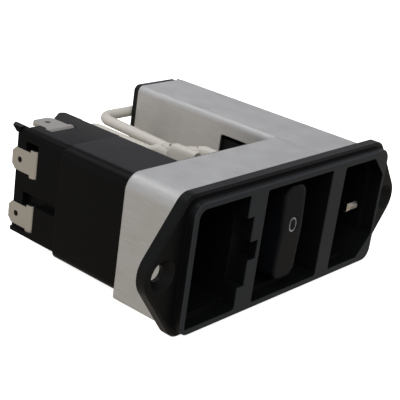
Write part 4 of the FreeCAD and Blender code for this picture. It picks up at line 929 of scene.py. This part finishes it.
@dataclass(frozen=True)
class Softbox:
    """One square soft lamp that points at the origin, and whether polished faces mirror it."""

    name: str
    at: Point
    size: float
    watts: float
    mirrored: bool = True


@dataclass
class Studio:
    """The pale floor, the soft light and the camera at the photograph's angle."""

    floor_z: float = -15.0
    floor_half: float = 2500.0
    floor_colour: str = "F8F7F5"
    floor_glow_colour: str = "FFFFFF"
    floor_glow: float = 0.9
    floor_roughness: float = 0.9
    floor_specular: float = 0.1
    # The tent from straight below to straight above: how far up, how bright and which tint
    tent_stops: tuple[tuple[float, float, str], ...] = (
        (0.0, 0.35, "FFF4E6"), (0.32, 0.41, "FFF5E8"), (0.5, 0.49, "FFF9F3"), (0.69, 0.62, "F5F6FF"),
        (0.755, 0.52, "F5F6FF"), (0.80, 0.24, "F5F6FF"), (1.0, 0.34, "F5F6FF"))
    # Where the tent is open: the way to it, how near to that way it starts and is darkest, and how dark
    opening: Point = (0.45, -0.8, -0.4)
    opening_edge: float = 0.72
    opening_middle: float = 0.96
    opening_level: float = 0.4
    # The camera's place, and its right, down and ahead directions, as solved from the photograph
    camera_at: Point = (-176.36, -116.87, 84.72)
    camera_rows: tuple[Point, Point, Point] = (
        (0.6518, -0.7467, 0.1328), (-0.1908, -0.3309, -0.9242), (0.734, 0.577, -0.3582))
    lens: float = 95.8
    sensor: float = 36.0
    nearest_m: float = 0.01
    farthest_m: float = 20.0
    lamps: tuple[Softbox, ...] = (
        Softbox("softbox_top", (-90.0, 580.0, 810.0), 450.0, 0.8),
        Softbox("softbox_fill", (-500.0, -300.0, 900.0), 900.0, 8.0, mirrored=False))

    def floor(self) -> None:
        """Builds the pale sweep that the module stands on, left out of reflections so that they stay calm."""
        half, z = self.floor_half * MM, self.floor_z * MM
        mesh = bpy.data.meshes.new("studio_floor")
        corners = [(-half, -half, z), (half, -half, z), (half, half, z), (-half, half, z)]
        mesh.from_pydata(corners, [], [(0, 1, 2, 3)])
        material = bpy.data.materials.new("matt_paper_sweep")
        material.use_nodes = True
        shader = material.node_tree.nodes["Principled BSDF"]
        shader.inputs["Base Color"].default_value = rgba(self.floor_colour)
        shader.inputs["Roughness"].default_value = self.floor_roughness
        shader.inputs["Specular IOR Level"].default_value = self.floor_specular
        shader.inputs["Emission Color"].default_value = rgba(self.floor_glow_colour)
        shader.inputs["Emission Strength"].default_value = self.floor_glow
        mesh.materials.append(material)
        piece = bpy.data.objects.new("studio_floor", mesh)
        bpy.context.scene.collection.objects.link(piece)
        piece.visible_glossy = False
        piece.visible_diffuse = False

    def surroundings(self) -> None:
        """Sets the tent: brighter overhead, calm below, and darker in front where the tent is open."""
        world = bpy.data.worlds.new("studio_tent")
        bpy.context.scene.world = world
        world.use_nodes = True
        tree = world.node_tree
        background = tree.nodes["Background"]
        place = add_node(tree, "ShaderNodeTexCoord").outputs["Generated"]
        split = add_node(tree, "ShaderNodeSeparateXYZ", links={"Vector": place})
        height = add_node(tree, "ShaderNodeMapRange", inputs={"From Min": -1.0, "From Max": 1.0},
                          links={"Value": split.outputs["Z"]})
        ramp = add_node(tree, "ShaderNodeValToRGB", links={"Fac": height.outputs["Result"]})
        elements = ramp.color_ramp.elements
        while len(elements) < len(self.tent_stops):
            elements.new(position=0.5)
        for element, (at, level, tint) in zip(elements, self.tent_stops):
            element.position = at
            element.color = (*(level * c for c in linear(tint)), 1.0)
        facing = add_node(tree, "ShaderNodeVectorMath", {"operation": "DOT_PRODUCT"}, links={0: place})
        facing.inputs[1].default_value = self.opening
        shade = add_node(tree, "ShaderNodeMapRange", links={"Value": facing.outputs["Value"]}, inputs={
            "From Min": self.opening_edge, "From Max": self.opening_middle, "To Min": 1.0,
            "To Max": self.opening_level})
        tree.links.new(ramp.outputs["Color"], background.inputs["Color"])
        tree.links.new(shade.outputs["Result"], background.inputs["Strength"])

    def softboxes(self) -> None:
        """Hangs the soft lamps."""
        for box in self.lamps:
            lamp = bpy.data.lights.new(box.name, "AREA")
            lamp.shape = "SQUARE"
            lamp.size = box.size * MM
            lamp.energy = box.watts
            piece = bpy.data.objects.new(box.name, lamp)
            bpy.context.scene.collection.objects.link(piece)
            piece.location = Vector(box.at) * MM
            piece.rotation_euler = (-Vector(box.at)).to_track_quat("-Z", "Y").to_euler()
            piece.visible_glossy = box.mirrored

    def camera(self) -> None:
        """Sets the camera that the photograph was solved to."""
        right, down, ahead = (Vector(row) for row in self.camera_rows)
        turn = Matrix((right, -down, -ahead)).transposed().to_4x4()
        data = bpy.data.cameras.new("photo_camera")
        data.lens = self.lens
        data.sensor_width = self.sensor
        data.clip_start, data.clip_end = self.nearest_m, self.farthest_m
        piece = bpy.data.objects.new("photo_camera", data)
        bpy.context.scene.collection.objects.link(piece)
        piece.matrix_world = Matrix.Translation(Vector(self.camera_at) * MM) @ turn
        bpy.context.scene.camera = piece

    def build(self) -> None:
        """Sets up the whole studio."""
        self.camera()
        self.floor()
        self.surroundings()
        self.softboxes()


def clear_default_scene() -> None:
    """Removes the start-up cube, lamp and camera, which are no part of the frame."""
    kept = {o.name for o in frame["nodes"].values()} | {o.name for o in frame["bodies"].values()}
    for thing in list(bpy.context.scene.objects):
        if thing.name not in kept:
            bpy.data.objects.remove(thing)


def main() -> None:
    """Builds the module's pieces in order, then the studio."""
    logging.basicConfig(level=logging.INFO, format="%(message)s")
    clear_default_scene()
    bpy.context.scene.view_settings.view_transform = "Standard"
    for assembly in (FrontMoulding(), Can(), FuseSide(), Switch(), Leads(), Filter()):
        assembly.dress()
    Studio().build()


if __name__ == "__main__":
    main()
